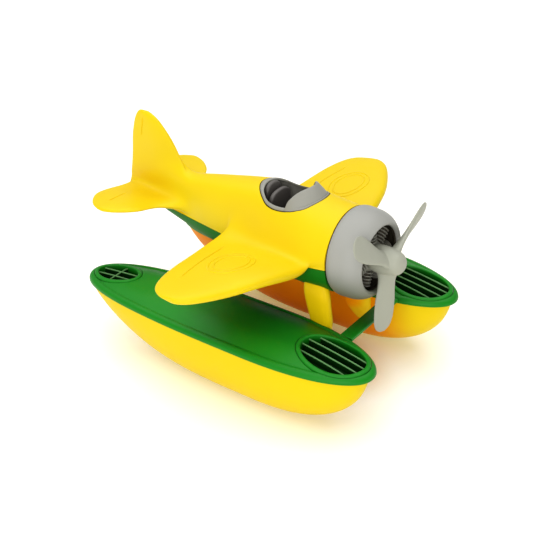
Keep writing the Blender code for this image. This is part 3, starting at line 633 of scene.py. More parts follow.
def fin_grid(rib, chord):
    """Starboard, middle and port places along the chord at one height of the fin."""
    z, leading, trailing, thick = rib
    rows = []
    last = len(chord) - 1
    for number, (share, depth) in enumerate(chord):
        x = leading + (trailing - leading) * share
        ahead = {0: FIN_NOSE, last: FIN_HEEL}.get(number, 0.0)
        rows.append([(x, -thick * depth, z), (x + ahead, 0.0, z), (x, thick * depth, z)])
    return rows


def upper_body_cage():
    """Cage of the yellow fuselage top with its wings, tailplane and fin."""
    cage = Cage()
    halves = []
    for x, top, y1, z1, y2, z2, y3, z3, y4 in FUSELAGE:
        low = seam_height(x)
        half = [(0.0, top), (y1, z1), (y2, z2), (y3, z3), (y4, low), (0.0, low)]
        halves.append([(x, y, z) for y, z in half])
    halves.append([(TAIL_X + dx, y, z) for dx, y, z in TAIL_END])
    rings = cage.tube(halves)
    for ring in (rings[0], rings[-1]):
        cage.faces.append((ring[0], ring[1], ring[-1]))
        cage.faces += [(ring[k], ring[k + 1], ring[-k - 1], ring[-k]) for k in (1, 2, 3)]
        cage.faces.append((ring[4], ring[5], ring[6]))
    cage.crease(rings[0], closed=True)
    cage.crease([ring[4] for ring in rings[:-1]])
    cage.crease([ring[6] for ring in rings[:-1]])
    # The wing grows from stations 1 to 6, the tailplane and the fin from 9 to 12
    for side, top_column, low_column in ((1, 2, 3), (-1, 8, 7)):
        grid = [[rings[s][top_column], rings[s][low_column]] for s in range(1, 7)]
        cage.grow(grid, [rib_grid(rib, WING_CHORD, side) for rib in WING_RIBS])
        grid = [[rings[s][top_column], rings[s][low_column]] for s in range(9, 13)]
        cage.grow(grid, [rib_grid(rib, TAIL_CHORD, side) for rib in TAIL_RIBS])
    grid = [[rings[s][9], rings[s][0], rings[s][1]] for s in range(9, 13)]
    cage.grow(grid, [fin_grid(rib, FIN_CHORD) for rib in FIN_RIBS])
    cage.solve()
    return cage


# The plain moulding, a guide for all that lies on it
BODY = upper_body_cage().build("upper_body", "yellow")


ABOVE_ALL_Z = 200.0


def surface(x, y):
    """Place and direction of the plain moulding's top, in metres, straight above a plan point."""
    hit, normal, _, _ = BODY_TREE.ray_cast(Vector((x, y, ABOVE_ALL_Z)) * MM, Vector((0.0, 0.0, -1.0)))
    return hit, normal


def search_tree(made):
    """A search tree of a mesh, kept apart from later changes to it."""
    shape = bmesh.new()
    shape.from_mesh(made.data)
    tree = BVHTree.FromBMesh(shape)
    shape.free()
    return tree


BODY_TREE = search_tree(BODY)

# x, half width at the seam, bottom z
BELLY = [
    (68.6, 28.6, 68.4),
    (57.5, 29.0, 67.8),
    (45.0, 28.3, 67.6),
    (32.0, 27.0, 67.6),
    (16.0, 25.2, 68.0),
    (2.0, 23.0, 68.7),
    (-13.0, 20.1, 69.8),
    (-21.0, 18.0, 70.4),
    (-42.0, 14.1, 72.2),
    (-60.0, 10.7, 75.9),
    (-80.0, 7.2, 81.4),
    (-92.0, 5.6, 85.6),
]
# share of the half width, share of the depth, from the roof's middle to the keel
BELLY_SECTION = [(0.0, 0.0), (1.0, 0.0), (0.93, 0.36), (0.66, 0.76), (0.0, 1.0)]


def belly_cage():
    """Cage of the green fuselage bottom."""
    cage = Cage()
    halves = []
    for x, wide, bottom in BELLY:
        top = seam_height(x) - GAP
        halves.append([(x, wide * out, top - (top - bottom) * down) for out, down in BELLY_SECTION])
    rings = cage.tube(halves)
    for ring in (rings[0], rings[-1]):
        cage.faces += [(ring[0], *ring[k : k + 3]) for k in (1, 3, 5)]
        cage.crease(ring, closed=True)
    cage.crease([ring[1] for ring in rings])
    cage.crease([ring[7] for ring in rings])
    cage.solve()
    return cage


# Engraved lines, with the slack and the tolerance in metres
LINE_WIDE = 0.5
LINE_FLAT = 0.12
LINE_DEEP = 0.55
LINE_FADE = 2.0
LINE_LEAST_UP = -0.3
LINE_SLACK = 0.001
CUT_TOLERANCE = 1e-7
# a point on the line's plane, the plane's normal, lowest and highest corner of the line's box
LINES = [
    ((2.9, 67.0, 100.0), (0.9866, -0.163, 0.0), (-4.0, 40.0, 88.0), (9.0, 92.0, 112.0)),
    ((2.9, -67.0, 100.0), (0.9866, 0.163, 0.0), (-4.0, -92.0, 88.0), (9.0, -40.0, 112.0)),
    ((-103.0, 0.0, 98.0), (1.0, 0.0, 0.0), (-105.0, 22.0, 90.0), (-101.0, 40.0, 105.0)),
    ((-103.0, 0.0, 98.0), (1.0, 0.0, 0.0), (-105.0, -40.0, 90.0), (-101.0, -22.0, 105.0)),
    ((-101.5, 0.0, 140.4), (0.981, 0.0, -0.192), (-106.0, -6.0, 134.0), (-97.0, 6.0, 149.5)),
]


def engrave(shape, point, normal, low, high):
    """Cuts a fine line into a mesh along a plane, inside a box."""
    point = Vector(point) * MM
    normal = Vector(normal)
    low = Vector(low) * MM
    high = Vector(high) * MM

    def inside(place, slack=0.0):
        return all(low[k] - slack <= place[k] <= high[k] + slack for k in range(3))

    for offset in (-LINE_WIDE, -LINE_FLAT, LINE_FLAT, LINE_WIDE):
        faces = [f for f in shape.faces if inside(f.calc_center_median(), LINE_SLACK)]
        geometry = {v for f in faces for v in f.verts} | {e for f in faces for e in f.edges} | set(faces)
        cutting = {"plane_co": point + normal * offset * MM, "plane_no": normal, "dist": CUT_TOLERANCE}
        bmesh.ops.bisect_plane(shape, geom=list(geometry), **cutting)
    shape.normal_update()
    ends = int(np.argmax([0.0 if abs(normal[k]) > 0.5 else high[k] - low[k] for k in range(3)]))
    moves = []
    for vertex in shape.verts:
        if not inside(vertex.co) or vertex.normal.z < LINE_LEAST_UP:
            continue
        off = abs((vertex.co - point).dot(normal)) / MM
        across = min(1.0, max(0.0, (LINE_WIDE - off) / (LINE_WIDE - LINE_FLAT)))
        from_end = min(vertex.co[ends] - low[ends], high[ends] - vertex.co[ends]) / MM
        along = min(1.0, max(0.0, from_end / LINE_FADE))
        if across * along > 0.0:
            moves.append((vertex, vertex.normal * LINE_DEEP * across * along * MM))
    for vertex, move in moves:
        vertex.co -= move


# Raised oval rings on the wings
# centre x, centre y, half length along the chord, half length along the span
BADGES = [
    (23.4, 68.0, 12.8, 17.0),
    (23.4, 68.0, 9.4, 13.6),
    (21.6, -61.0, 12.8, 17.0),
    (21.6, -61.0, 9.4, 13.6),
]
# across the ring, height above the wing
BADGE_HALF = [(-0.9, -0.15), (-0.65, 0.1), (-0.4, 0.42)]
BADGE_SECTION = [*BADGE_HALF, (0.0, 0.52), *[(-across, high) for across, high in BADGE_HALF[::-1]]]


def badge(x, y, half_chord, half_span, sides=160):
    """A raised ring that follows the top of the wing."""
    points = []
    for c, s in circle(sides):
        for across, high in BADGE_SECTION:
            hit, normal = surface(x + (half_chord + across) * c, y + (half_span + across) * s)
            points.append(tuple((hit + normal * high * MM) / MM))
    return add_mesh("badge", points, quads(sides, len(BADGE_SECTION), False, True), "yellow")


def upper_body():
    """The yellow moulding with its cockpit pocket, engraved lines and raised rings."""
    shape = bmesh.new()
    shape.from_mesh(BODY.data)
    for row in LINES:
        engrave(shape, *row)
    shape.to_mesh(BODY.data)
    shape.free()
    pocket = [level_ring(0.0, z) for z in (COCKPIT_FLOOR_Z, POCKET_TOP_Z)]
    cut(BODY, add_mesh("pocket", *loft(pocket), "yellow"))
    smooth(BODY, CAGE_SMOOTH_DEG)
    return join("fuselage_top", [BODY, *(badge(*row) for row in BADGES)])


# Floats


def float_half_width(x, stern_x=FLOAT_STERN_X, bow_x=FLOAT_BOW_X):
    """Half width of a float's deck line in plan: round at the bow, finer at the stern."""
    if x >= FLOAT_WIDEST_X:
        share = (x - FLOAT_WIDEST_X) / (bow_x - FLOAT_WIDEST_X)
        inner_power, outer_power = PLAN_BOW_POWERS
    else:
        share = (FLOAT_WIDEST_X - x) / (FLOAT_WIDEST_X - stern_x)
        inner_power, outer_power = PLAN_STERN_POWERS
    return FLOAT_HALF_WIDTH * max(0.0, 1.0 - min(share, 1.0) ** inner_power) ** outer_power


def deck_edge_height(x):
    """Height of the deck's edge, which sweeps down a little towards the stern and the bow."""
    stern = max(0.0, (STERN_FALL_FROM_X - x) / (STERN_FALL_FROM_X - FLOAT_STERN_X))
    bow = max(0.0, (x - BOW_FALL_FROM_X) / (FLOAT_BOW_X - BOW_FALL_FROM_X))
    return DECK_EDGE_Z - STERN_FALL * stern**2 - BOW_FALL * bow**2


def deck_crown(wide, share):
    """How far the crowned deck stands above its edge, at a share of its half width."""
    full = min(1.0, wide / CROWN_FULL_WIDTH) ** 2
    fall = max(0.0, (abs(share) - CROWN_FLAT_SHARE) / (1.0 - CROWN_FLAT_SHARE))
    return DECK_CROWN * full * (1.0 - min(fall, 1.0) ** 2)


def deck_top(x, y):
    """Height of the deck's top surface beside the float's middle line."""
    wide = float_half_width(x)
    return deck_edge_height(x) + deck_crown(wide, y / max(wide - DECK_LIP, 0.1))


def keel_height(x):
    """Height of the keel line: flat amidships, rising slowly to the stern and faster to the bow."""
    if x > KEEL_FLAT[1]:
        share = (x - KEEL_FLAT[1]) / (HULL_BOW_X - KEEL_FLAT[1])
        inner_power, outer_power = KEEL_BOW_POWERS
        return KEEL_BOW_RISE * (1.0 - (1.0 - min(share, 1.0) ** inner_power) ** outer_power)
    if x < KEEL_FLAT[0]:
        share = (KEEL_FLAT[0] - x) / (KEEL_FLAT[0] - HULL_STERN_X)
        return KEEL_STERN_RISE * min(share, 1.0) ** KEEL_STERN_POWER
    return 0.0


def hull_roundness(x):
    """Power of the hull's section: fuller than a circle above 2, V-shaped below it."""
    stern = max(0.0, (KEEL_FLAT[0] - x) / (KEEL_FLAT[0] - HULL_STERN_X))
    bow = max(0.0, (x - KEEL_FLAT[1]) / (HULL_BOW_X - KEEL_FLAT[1]))
    return HULL_ROUND - HULL_ROUND_STERN_LOSS * min(stern, 1.0) - HULL_ROUND_BOW_LOSS * min(bow, 1.0)


def hull_stations(count=90):
    """Places along a hull, closer together at both round ends."""
    middle = (HULL_BOW_X + HULL_STERN_X) / 2.0
    reach = HULL_REACH_SHARE * (HULL_BOW_X - HULL_STERN_X) / 2.0
    return [middle + reach * math.sin(math.pi * (k / (count - 1) - 0.5)) for k in range(count)]


def hull_section(x, wall, sides=48):
    """Half-round section of a float hull, port rim to starboard rim, drawn in by a wall."""
    top = deck_edge_height(x) - DECK_RIM - GAP
    wide = max(float_half_width(x, HULL_STERN_X, HULL_BOW_X) - HULL_INSET - wall, HULL_LEAST_WIDE)
    deep = max(top - keel_height(x) - wall, HULL_LEAST_DEEP)
    power = 2.0 / hull_roundness(x)
    section = []
    for k in range(sides + 1):
        angle = math.pi * k / sides
        c = math.cos(angle)
        s = math.sin(angle)
        section.append((x, wide * math.copysign(abs(c) ** power, c), top - deep * abs(s) ** power))
    return section


def beside(points, side):
    """Moves points from the middle line to one of the floats."""
    return [(x, y + side * FLOAT_Y, z) for x, y, z in points]


def float_hull(name, side):
    """A hollow boat-shaped float, open at the top, where its deck lies."""
    outer = [hull_section(x, 0.0) for x in hull_stations()]
    inner = []
    for x in hull_stations():
        section = hull_section(x, HULL_WALL)
        place = (x - FLOAT_MIDDLE_X) * HULL_INNER_SHARE + FLOAT_MIDDLE_X
        inner.append([(place, y, z) for _, y, z in section])
    count = len(outer[0])
    points = [p for ring in [*outer, *inner] for p in ring]
    skin = len(outer) * count
    faces = quads(len(outer), count, False) + quads(len(inner), count, False, start=skin)
    for rim in (0, count - 1):
        for a in range(rim, skin - count, count):
            faces.append((a, a + count, skin + a + count, skin + a))
    for first in (0, skin - count):
        faces.append(tuple(range(first, first + count)))
        faces.append(tuple(range(skin + first, skin + first + count)))
        faces.append((first, first + count - 1, skin + first + count - 1, skin + first))
    return add_mesh(name, beside(points, side), faces, "float_yellow", HULL_DEG)


def deck_plan(count=110):
    """Plan of the deck's edge, stern to bow by the port side, as (x, y, outward x, outward y)."""
    places = []
    for k in range(-1, count + 2):
        share = math.sin(math.pi * (min(abs(k), count) / count - 0.5))
        x = FLOAT_MIDDLE_X + FLOAT_REACH * share
        places.append((x, float_half_width(x) if 0 < k < count else 0.0))
    places[0] = (places[2][0], -places[2][1])
    places[-1] = (places[-3][0], -places[-3][1])
    rows = []
    for before, (x, y), after in zip(places, places[1:], places[2:]):
        along = np.array(after) - np.array(before)
        along /= np.linalg.norm(along)
        rows.append((x, y, -along[1], along[0]))
    return rows


def deck_outline(inset, drop):
    """A closed ring of the deck's plan, inset and lowered, port side first."""
    port = []
    for x, y, out_x, out_y in deck_plan():
        place = x - inset * out_x
        port.append((place, y - inset * out_y if y else 0.0, deck_edge_height(place) - drop))
    return mirrored(port)


# inset from the deck's edge, depth of the shallow dip inside its round rim
DECK_DIP = [(3.9, 0.1), (4.3, 0.3), (4.8, 0.34), (5.2, 0.22), (DECK_LIP, 0.0)]


def deck_shape():
    """Points and faces of a deck with a round edge, a shallow dip inside it and a crowned top."""
    edge = [(0.4, DECK_RIM), (0.1, DECK_RIM - 0.12), (0.0, DECK_RIM - 0.4)]
    for angle in np.linspace(0.0, math.pi / 2.0, 9):
        edge.append((DECK_ROUND * (1.0 - math.cos(angle)), DECK_ROUND * (1.0 - math.sin(angle))))
    rings = [deck_outline(inset, drop) for inset, drop in [*edge, *DECK_DIP]]
    points, faces = loft(rings, closed_ends=False)
    count = len(rings[0])
    half = count // 2
    last = len(points) - count
    ports = list(range(half + 1))
    starboards = [(count - k) % count for k in ports]
    for k in range(half):
        corners = (ports[k], ports[k + 1], starboards[k + 1], starboards[k])
        faces.append(tuple(dict.fromkeys(corners)))
    lanes = [[last + k for k in ports]]
    for number in range(1, 24):
        share = 1.0 - number / 12.0
        lane = [last]
        for x, y, z in rings[-1][1:half]:
            points.append((x, y * share, z + deck_crown(y + DECK_LIP, share)))
            lane.append(len(points) - 1)
        lane.append(last + half)
        lanes.append(lane)
    lanes.append([last + k for k in starboards])
    for a, b in zip(lanes, lanes[1:]):
        for k in range(half):
            faces.append(tuple(dict.fromkeys((a[k], a[k + 1], b[k + 1], b[k]))))
    return points, faces


# centre x, half length, half width, lengthwise slats, crosswise slats, turn of the lengthwise ones
VENTS = [
    (90.2, 22.0, 15.4, 4, 0, -4.5),
    (-89.6, 16.8, 9.4, 2, 1, 0.0),
]
VENT_RIM_WIDE = 3.0
VENT_GROOVE = 0.35
SLAT_HALF = 0.275
SLAT_SUNK = 0.9
SLAT_DEEP = 5.0
# across in half widths, height from the slat's top: the body in painted shade, the top edge in a painted
# highlight
SLAT_BODY = [(-0.8, -SLAT_DEEP), (-0.8, -0.5), (0.8, -0.5), (0.8, -SLAT_DEEP)]
SLAT_EDGE = [(-1.0, -0.8), (-1.0, -0.25), (-0.6, -0.06), (0.0, 0.0), (0.6, -0.06), (1.0, -0.25), (1.0, -0.8)]
SLAT_PAST_EDGE = 0.3
PIT_DEEP = 9.0
PIT_FLOOR_UP = 1.5
PIT_PAST_EDGE = 0.1
HOLE_Z = (30.0, 70.0)
# outwards from the opening, height above the deck
RIM_SECTION = [
    (0.0, -PIT_DEEP),
    (0.0, -0.2),
    (0.15, 0.25),
    (0.5, 0.6),
    (1.0, 0.78),
    (1.6, 0.8),
    (2.2, 0.72),
    (2.7, 0.45),
    (2.95, 0.1),
    (3.0, -0.3),
    (3.0, -2.5),
]


def oval(centre_x, side, half_long, half_wide, height, sides=96):
    """A ring of points on an oval beside the middle line; height gives z from x and y."""
    ring = []
    for c, s in circle(sides):
        x = centre_x + half_long * c
        y = half_wide * s
        ring.append((x, y + side * FLOAT_Y, height(x, y)))
    return ring


def level(z):
    """A height that is the same everywhere."""
    return lambda x, y: z


def over_deck(up):
    """A height that keeps its distance above the deck's top surface."""
    return lambda x, y: deck_top(x, y) + up


def slat_bar(name, start, end, top):
    """A thin upright bar between two plan points, dark below with painted shade and light along its round top
    with a painted highlight.
    """
    start = np.array(start, float)
    end = np.array(end, float)
    along = (end - start) / np.linalg.norm(end - start)
    sideways = np.array((-along[1], along[0])) * SLAT_HALF
    parts = []
    for colour, section in (("pit_green", SLAT_BODY), ("slat_green", SLAT_EDGE)):
        rings = []
        for share in np.linspace(0.0, 1.0, 25):
            middle = start + (end - start) * share
            high = top(*middle)
            rings.append([(*(middle + sideways * off), high + up) for off, up in section])
        parts.append(add_mesh(name, *loft(rings), colour))
    return parts


def chord_of(x, y, half_long, half_wide, off, turn):
    """Ends of a line across an oval, a little past its edge, moved off the middle and turned."""
    c = math.cos(turn)
    s = math.sin(turn)
    square = (c / half_long) ** 2 + (s / half_wide) ** 2
    half_linear = off * s * c / half_wide**2 - off * s * c / half_long**2
    constant = (off * s / half_long) ** 2 + (off * c / half_wide) ** 2 - 1.0
    root = math.sqrt(half_linear**2 - square * constant)
    near = (-half_linear - root) / square - SLAT_PAST_EDGE
    far = (-half_linear + root) / square + SLAT_PAST_EDGE
    return [(x + reach * c - off * s, y + reach * s + off * c) for reach in (near, far)]


def vent(name, side, x, half_long, half_wide, lengthwise, crosswise, turn_deg):
    """Raised rim, pit darkened with painted shade, and slats of one vent."""
    rings = [oval(x, side, half_long + out, half_wide + out, over_deck(up)) for out, up in RIM_SECTION]
    parts = [add_mesh(f"{name}_rim", *loft(rings, closed_ends=False), "green", ROUND_DEG)]
    # A near-black disc under the opening, as painted shade in the vent
    out = PIT_PAST_EDGE
    bottom = oval(x, side, half_long + out, half_wide + out, level(DECK_EDGE_Z - PIT_DEEP + PIT_FLOOR_UP))
    parts.append(add_mesh(f"{name}_pit", bottom, [tuple(range(len(bottom)))], "pit_green"))

    def slat_top(px, py):
        return deck_top(px, py - side * FLOAT_Y) - SLAT_SUNK

    for count, reach, degrees in ((lengthwise, half_wide, turn_deg), (crosswise, half_long, 90.0)):
        for k in range(count):
            off = reach * 2.0 * ((k + 1) / (count + 1) - 0.5)
            ends = chord_of(x, side * FLOAT_Y, half_long, half_wide, off, math.radians(degrees))
            parts += slat_bar(f"{name}_slat", *ends, slat_top)
    return parts


def float_deck(name, side):
    """The green lid of a float, with a slatted oval vent at each end."""
    points, faces = deck_shape()
    deck = add_mesh(name, beside(points, side), faces, "green")
    out = VENT_RIM_WIDE + VENT_GROOVE
    parts = []
    for number, (x, half_long, half_wide, *slats) in enumerate(VENTS):
        rings = [oval(x, side, half_long + out, half_wide + out, level(z)) for z in HOLE_Z]
        cut(deck, add_mesh("hole", *loft(rings), "green"))
        parts += vent(f"vent_{number}", side, x, half_long, half_wide, *slats)
    return join(f"{name}_look", [deck, *parts])


# Legs, level by level: z, rear x, front x, middle y at the rear, half thickness, how far out the nose is
LEGS = {
    "front": [
        (27.0, 57.5, 67.0, 28.6, 2.6, 2.4),
        (35.0, 55.4, 68.8, 24.6, 3.8, 3.2),
        (44.0, 54.0, 69.6, 20.6, 4.6, 3.6),
        (52.0, 53.0, 70.5, 19.8, 4.6, 3.6),
        (63.0, 50.2, 69.6, 19.8, 4.6, 3.4),
        (75.0, 48.6, 67.8, 19.6, 4.6, 3.0),
        (83.0, 49.0, 63.0, 17.0, 4.2, 2.0),
    ],
    "rear": [
        (32.0, -32.6, -21.0, 29.0, 2.6, 0.0),
        (38.0, -33.4, -20.0, 25.4, 3.6, 0.0),
        (44.0, -33.6, -19.4, 21.6, 4.0, 0.0),
        (52.0, -32.2, -18.5, 19.4, 4.0, 0.0),
        (62.0, -31.2, -18.0, 16.6, 4.0, 0.0),
        (72.0, -31.0, -17.5, 12.6, 4.0, 0.0),
        (80.0, -32.0, -16.5, 9.0, 3.6, 0.0),
        (84.0, -33.5, -15.5, 7.4, 3.2, 0.0),
    ],
}
# share of the chord from the rear, share of the half thickness, from the rear's middle round the port side
LEG_SECTION = [
    (0.0, 0.0),
    (0.0, 0.45),
    (0.02, 0.78),
    (0.1, 0.96),
    (0.35, 1.0),
    (0.7, 0.92),
    (0.9, 0.62),
    (0.975, 0.32),
    (1.0, 0.0),
]


def leg(label, side_name, side):
    """One strut from the inner side of a float up into the belly."""
    levels = LEGS[label]
    heights = [row[0] for row in levels]
    wanted = np.linspace(heights[0], heights[-1], 40)
    dense = hermite(heights, [row[1:] for row in levels], wanted)
    outline = mirrored(smooth_path(LEG_SECTION, 4))
    rings = []
    for z, (rear_x, front_x, middle_y, thick, nose_out) in zip(wanted, dense):
        chord = front_x - rear_x
        ring = []
        for along, across in outline:
            y = middle_y + nose_out * along + thick * across
            ring.append((rear_x + chord * along, side * y, z))
        rings.append(ring)
    return add_mesh(f"leg_{label}_{side_name}", *loft(rings), "leg_yellow", ROUND_DEG)


# name, rear x, front x, low z, high z
CROSSBARS = [
    ("crossbar_front", 79.6, 88.8, 48.9, 51.5),
    ("crossbar_rear", -62.0, -52.0, 48.9, 51.5),
]
CROSSBAR_SUNK = 1.0


def crossbar(name, x0, x1, z0, z1):
    """A flat bar with round edges between the two decks."""
    y = FLOAT_Y - float_half_width((x0 + x1) / 2.0) + CROSSBAR_SUNK
    rings = []
    for place in np.linspace(-y, y, 41):
        rings.append([(x0, place, z0), (x1, place, z0), (x1, place, z1), (x0, place, z1)])
    return soften(add_mesh(f"{name}_look", *loft(rings), "green"), 0.7, 4)


# Cockpit
COCKPIT_FLOOR_Z = 101.0
POCKET_TOP_Z = 140.0
TUB_WALL = 1.1
TUB_CORNER = 1.5
COAMING_DEEP = 1.3
GROOVE_WIDE = 0.55
GROOVE_DEEP = 0.4
GROOVE_FROM = 0.05
LIP_LOW = 1.5
COAMING_REAR_EXTRA = 3.9
COAMING_REAR_REACH = 16.0
# inset from the pocket's wall, height above the fuselage
COAMING_SECTION = [
    (0.6, -1.3),
    (0.6, -0.2),
    (0.66, 0.12),
    (0.85, 0.32),
    (1.1, 0.4),
    (1.4, 0.32),
    (1.62, 0.1),
    (1.7, -0.2),
    (1.7, -1.3),
]

# Plan of the cockpit's port half, from the rear to the front: x, half width
COCKPIT_PLAN = [
    (1.5, 0.0),
    (2.3, 4.2),
    (4.4, 8.2),
    (7.2, 11.4),
    (10.8, 14.1),
    (15.0, 16.3),
    (19.5, 17.4),
    (25.5, 17.9),
    (31.5, 17.7),
    (38.4, 16.4),
    (44.2, 13.7),
    (48.0, 8.7),
    (49.6, 4.3),
    (50.1, 0.0),
]


def crown_height(x, y):
    """Height of the fuselage's top surface, in millimetres."""
    return surface(x, y)[0].z / MM


def cockpit_ring(inset, count=160):
    """Evenly spaced points of the cockpit's plan, drawn in by an inset, port side first."""
    loop = mirrored(COCKPIT_PLAN)
    rows = [*loop[-2:], *loop, *loop[:2]]
    dense = smooth_path(rows, 8)[16 : 8 * (len(loop) + 2)]
    ring = even_ring(dense, count)
    along = np.roll(ring, -1, axis=0) - np.roll(ring, 1, axis=0)
    along /= np.linalg.norm(along, axis=1)[:, None]
    outward = np.stack([-along[:, 1], along[:, 0]], axis=1)
    return [tuple(place) for place in ring - inset * outward]


def level_ring(inset, z):
    """The cockpit's plan, drawn in by an inset, at one height."""
    return [(x, y, z) for x, y in cockpit_ring(inset)]


def crown_ring(inset, drop):
    """The cockpit's plan, drawn in by an inset, at a distance below the fuselage's top."""
    return [(x, y, crown_height(x, y) - drop) for x, y in cockpit_ring(inset)]


def cockpit_tub():
    """The dark lining of the cockpit, its rim under the coaming and a dark lip of painted shadow in the
    groove around it.
    """
    inset = GAP + TUB_WALL
    low = COCKPIT_FLOOR_Z + GAP
    rings = [
        level_ring(GAP, low),
        crown_ring(GAP, COAMING_DEEP + GAP),
        crown_ring(inset, COAMING_DEEP + GAP),
        level_ring(inset, low + TUB_WALL + TUB_CORNER),
        level_ring(inset + TUB_CORNER, low + TUB_WALL),
    ]
    lining = add_mesh("lining", *loft(rings), "tub_grey", ROUND_DEG)
    # A dark lip in the groove round the coaming, as painted shadow
    out, into = GROOVE_FROM, GROOVE_WIDE
    section = ((out, LIP_LOW), (out, GROOVE_DEEP), (into, GROOVE_DEEP), (into, LIP_LOW))
    rings = [crown_ring(inset, drop) for inset, drop in section]
    lip = add_mesh("lip", *loft(rings, closed_loop=True), "gap_brown", ROUND_DEG)
    return join("cockpit_lining", [lining, lip])


# base x, base y, top x, top y, top z: the screen's starboard half, from its rear end to the middle line
SCREEN = [
    (29.2, -16.4, 30.2, -16.2, 121.8),
    (31.2, -16.4, 31.3, -15.2, 125.4),
    (34.6, -16.1, 33.8, -13.2, 128.9),
    (38.4, -14.8, 36.4, -10.4, 131.5),
    (43.1, -12.0, 39.2, -7.0, 133.2),
    (46.8, -7.2, 41.2, -3.4, 133.9),
    (48.4, 0.0, 41.8, 0.0, 134.2),
]
SCREEN_BULGE = 0.35
SCREEN_THICK = 1.5
SCREEN_SUNK = 1.0
SCREEN_CENTRE_X = 24.0


def windscreen():
    """The light grey coaming around the cockpit with the screen that rises from its front."""
    first = COAMING_SECTION[0][0]
    last = COAMING_SECTION[-1][0]
    rings = []
    for inset, high in COAMING_SECTION:
        extra = COAMING_REAR_EXTRA * (inset - first) / (last - first)
        ring = []
        for x, y in cockpit_ring(inset):
            rear = max(0.0, 1.0 - (x - COCKPIT_PLAN[0][0]) / COAMING_REAR_REACH) ** 2
            place = x + extra * rear
            ring.append((place, y, crown_height(place, y) + high))
        rings.append(ring)
    coaming = add_mesh("coaming", *loft(rings, closed_loop=True), "coaming_grey", ROUND_DEG)
    rows = SCREEN + [(bx, -by, tx, -ty, tz) for bx, by, tx, ty, tz in SCREEN[-2::-1]]
    sections = []
    half = SCREEN_THICK / 2.0
    round_top = [(half * math.cos(a), half * math.sin(a)) for a in np.linspace(0.0, math.pi, 9)]
    for base_x, base_y, top_x, top_y, top_z in smooth_path(rows, 10):
        foot = np.array((base_x, base_y, crown_height(base_x, base_y) - SCREEN_SUNK))
        head = np.array((top_x, top_y, top_z - half))
        lean = np.array((base_x - SCREEN_CENTRE_X, base_y, 0.0))
        out = lean / np.linalg.norm(lean)
        up = (head - foot) / np.linalg.norm(head - foot)
        middle = (foot + head) / 2.0 + out * SCREEN_BULGE
        section = [tuple(foot + out * half), tuple(middle + out * half)]
        section += [tuple(head + out * off + up * high) for off, high in round_top]
        section += [tuple(middle - out * half), tuple(foot - out * half)]
        sections.append(section)
    screen = add_mesh("screen", *loft(sections), "coaming_grey", ROUND_DEG)
    return join("windscreen_look", [coaming, screen])


# name, x of the seat's back, half width of the back, height of the back, length of the cushion
SEATS = [("seat_rear", 7.4, 7.8, 128.3, 5.2), ("seat_front", 12.9, 10.6, 124.6, 11.0)]
SEAT_THICK = 3.2
SEAT_SHOULDER = 7.0
SEAT_ROUND_POWER = 0.8
CUSHION_FROM = 1.0
CUSHION_HIGH = 6.0
CUSHION_INSET = 0.8


def seat(name, x, half, top, long):
    """A seat with a cushion and an upright back with round shoulders."""
    low = COCKPIT_FLOOR_Z + TUB_WALL + 2.0 * GAP
    outline = [(half, low), (half, top - SEAT_SHOULDER)]
    for k in range(1, 12):
        angle = math.radians(90.0 * k / 12.0)
        wide = half * math.cos(angle) ** SEAT_ROUND_POWER
        outline.append((wide, top - SEAT_SHOULDER + SEAT_SHOULDER * math.sin(angle)))
    outline += [(0.0, top), *[(-y, z) for y, z in outline[::-1]]]
    rings = [[(x + dx, y, z) for y, z in outline] for dx in (0.0, SEAT_THICK)]
    back = soften(add_mesh(name, *loft(rings), "dark_grey"), 1.2, 5, 50.0)
    wide = half - CUSHION_INSET
    rear, front = x + CUSHION_FROM, x + long
    plan = [(rear, -wide), (front, -wide), (front, wide), (rear, wide)]
    rings = [[(px, py, z) for px, py in plan] for z in (low, low + CUSHION_HIGH)]
    cushion = soften(add_mesh("cushion", *loft(rings), "dark_grey"), 1.6, 5)
    return join(f"{name}_look", [back, cushion])


# Nose, behind it an open line along the fuselage with a dark ring of painted shadow inside
COWL_LINE = 0.9
GAP_RING_X = (COWL_X + 0.1, COWL_X + 1.4)
GAP_RING_R = (24.0, COWL_R - 0.9)
# Where the dark sheet of painted shade inside the cowl starts, and how far inside the wall it lies
COWL_SHADE_FROM_X = COWL_X + 2.0
COWL_SHADE_INSET = 0.25
# x, radius, from the outside round the mouth to the inside
COWL_PROFILE = [
    (COWL_X + COWL_LINE, COWL_R - 0.4),
    (COWL_X + 2.4, COWL_R + 0.4),
    (COWL_X + 9.0, COWL_R + 0.8),
    (COWL_X + 15.0, COWL_R + 0.2),
    (COWL_X + 19.5, COWL_R - 1.6),
    (COWL_X + 22.3, COWL_R - 4.0),
    (COWL_FRONT_X, COWL_MOUTH_R + 1.2),
    (COWL_FRONT_X - 0.6, COWL_MOUTH_R - 0.2),
    (COWL_FRONT_X - 3.0, COWL_MOUTH_R - 0.6),
    (COWL_FRONT_X - 6.0, COWL_MOUTH_R + 1.4),
    (COWL_X + 8.0, COWL_R - 2.6),
    (COWL_X + COWL_LINE, COWL_R - 2.4),
]


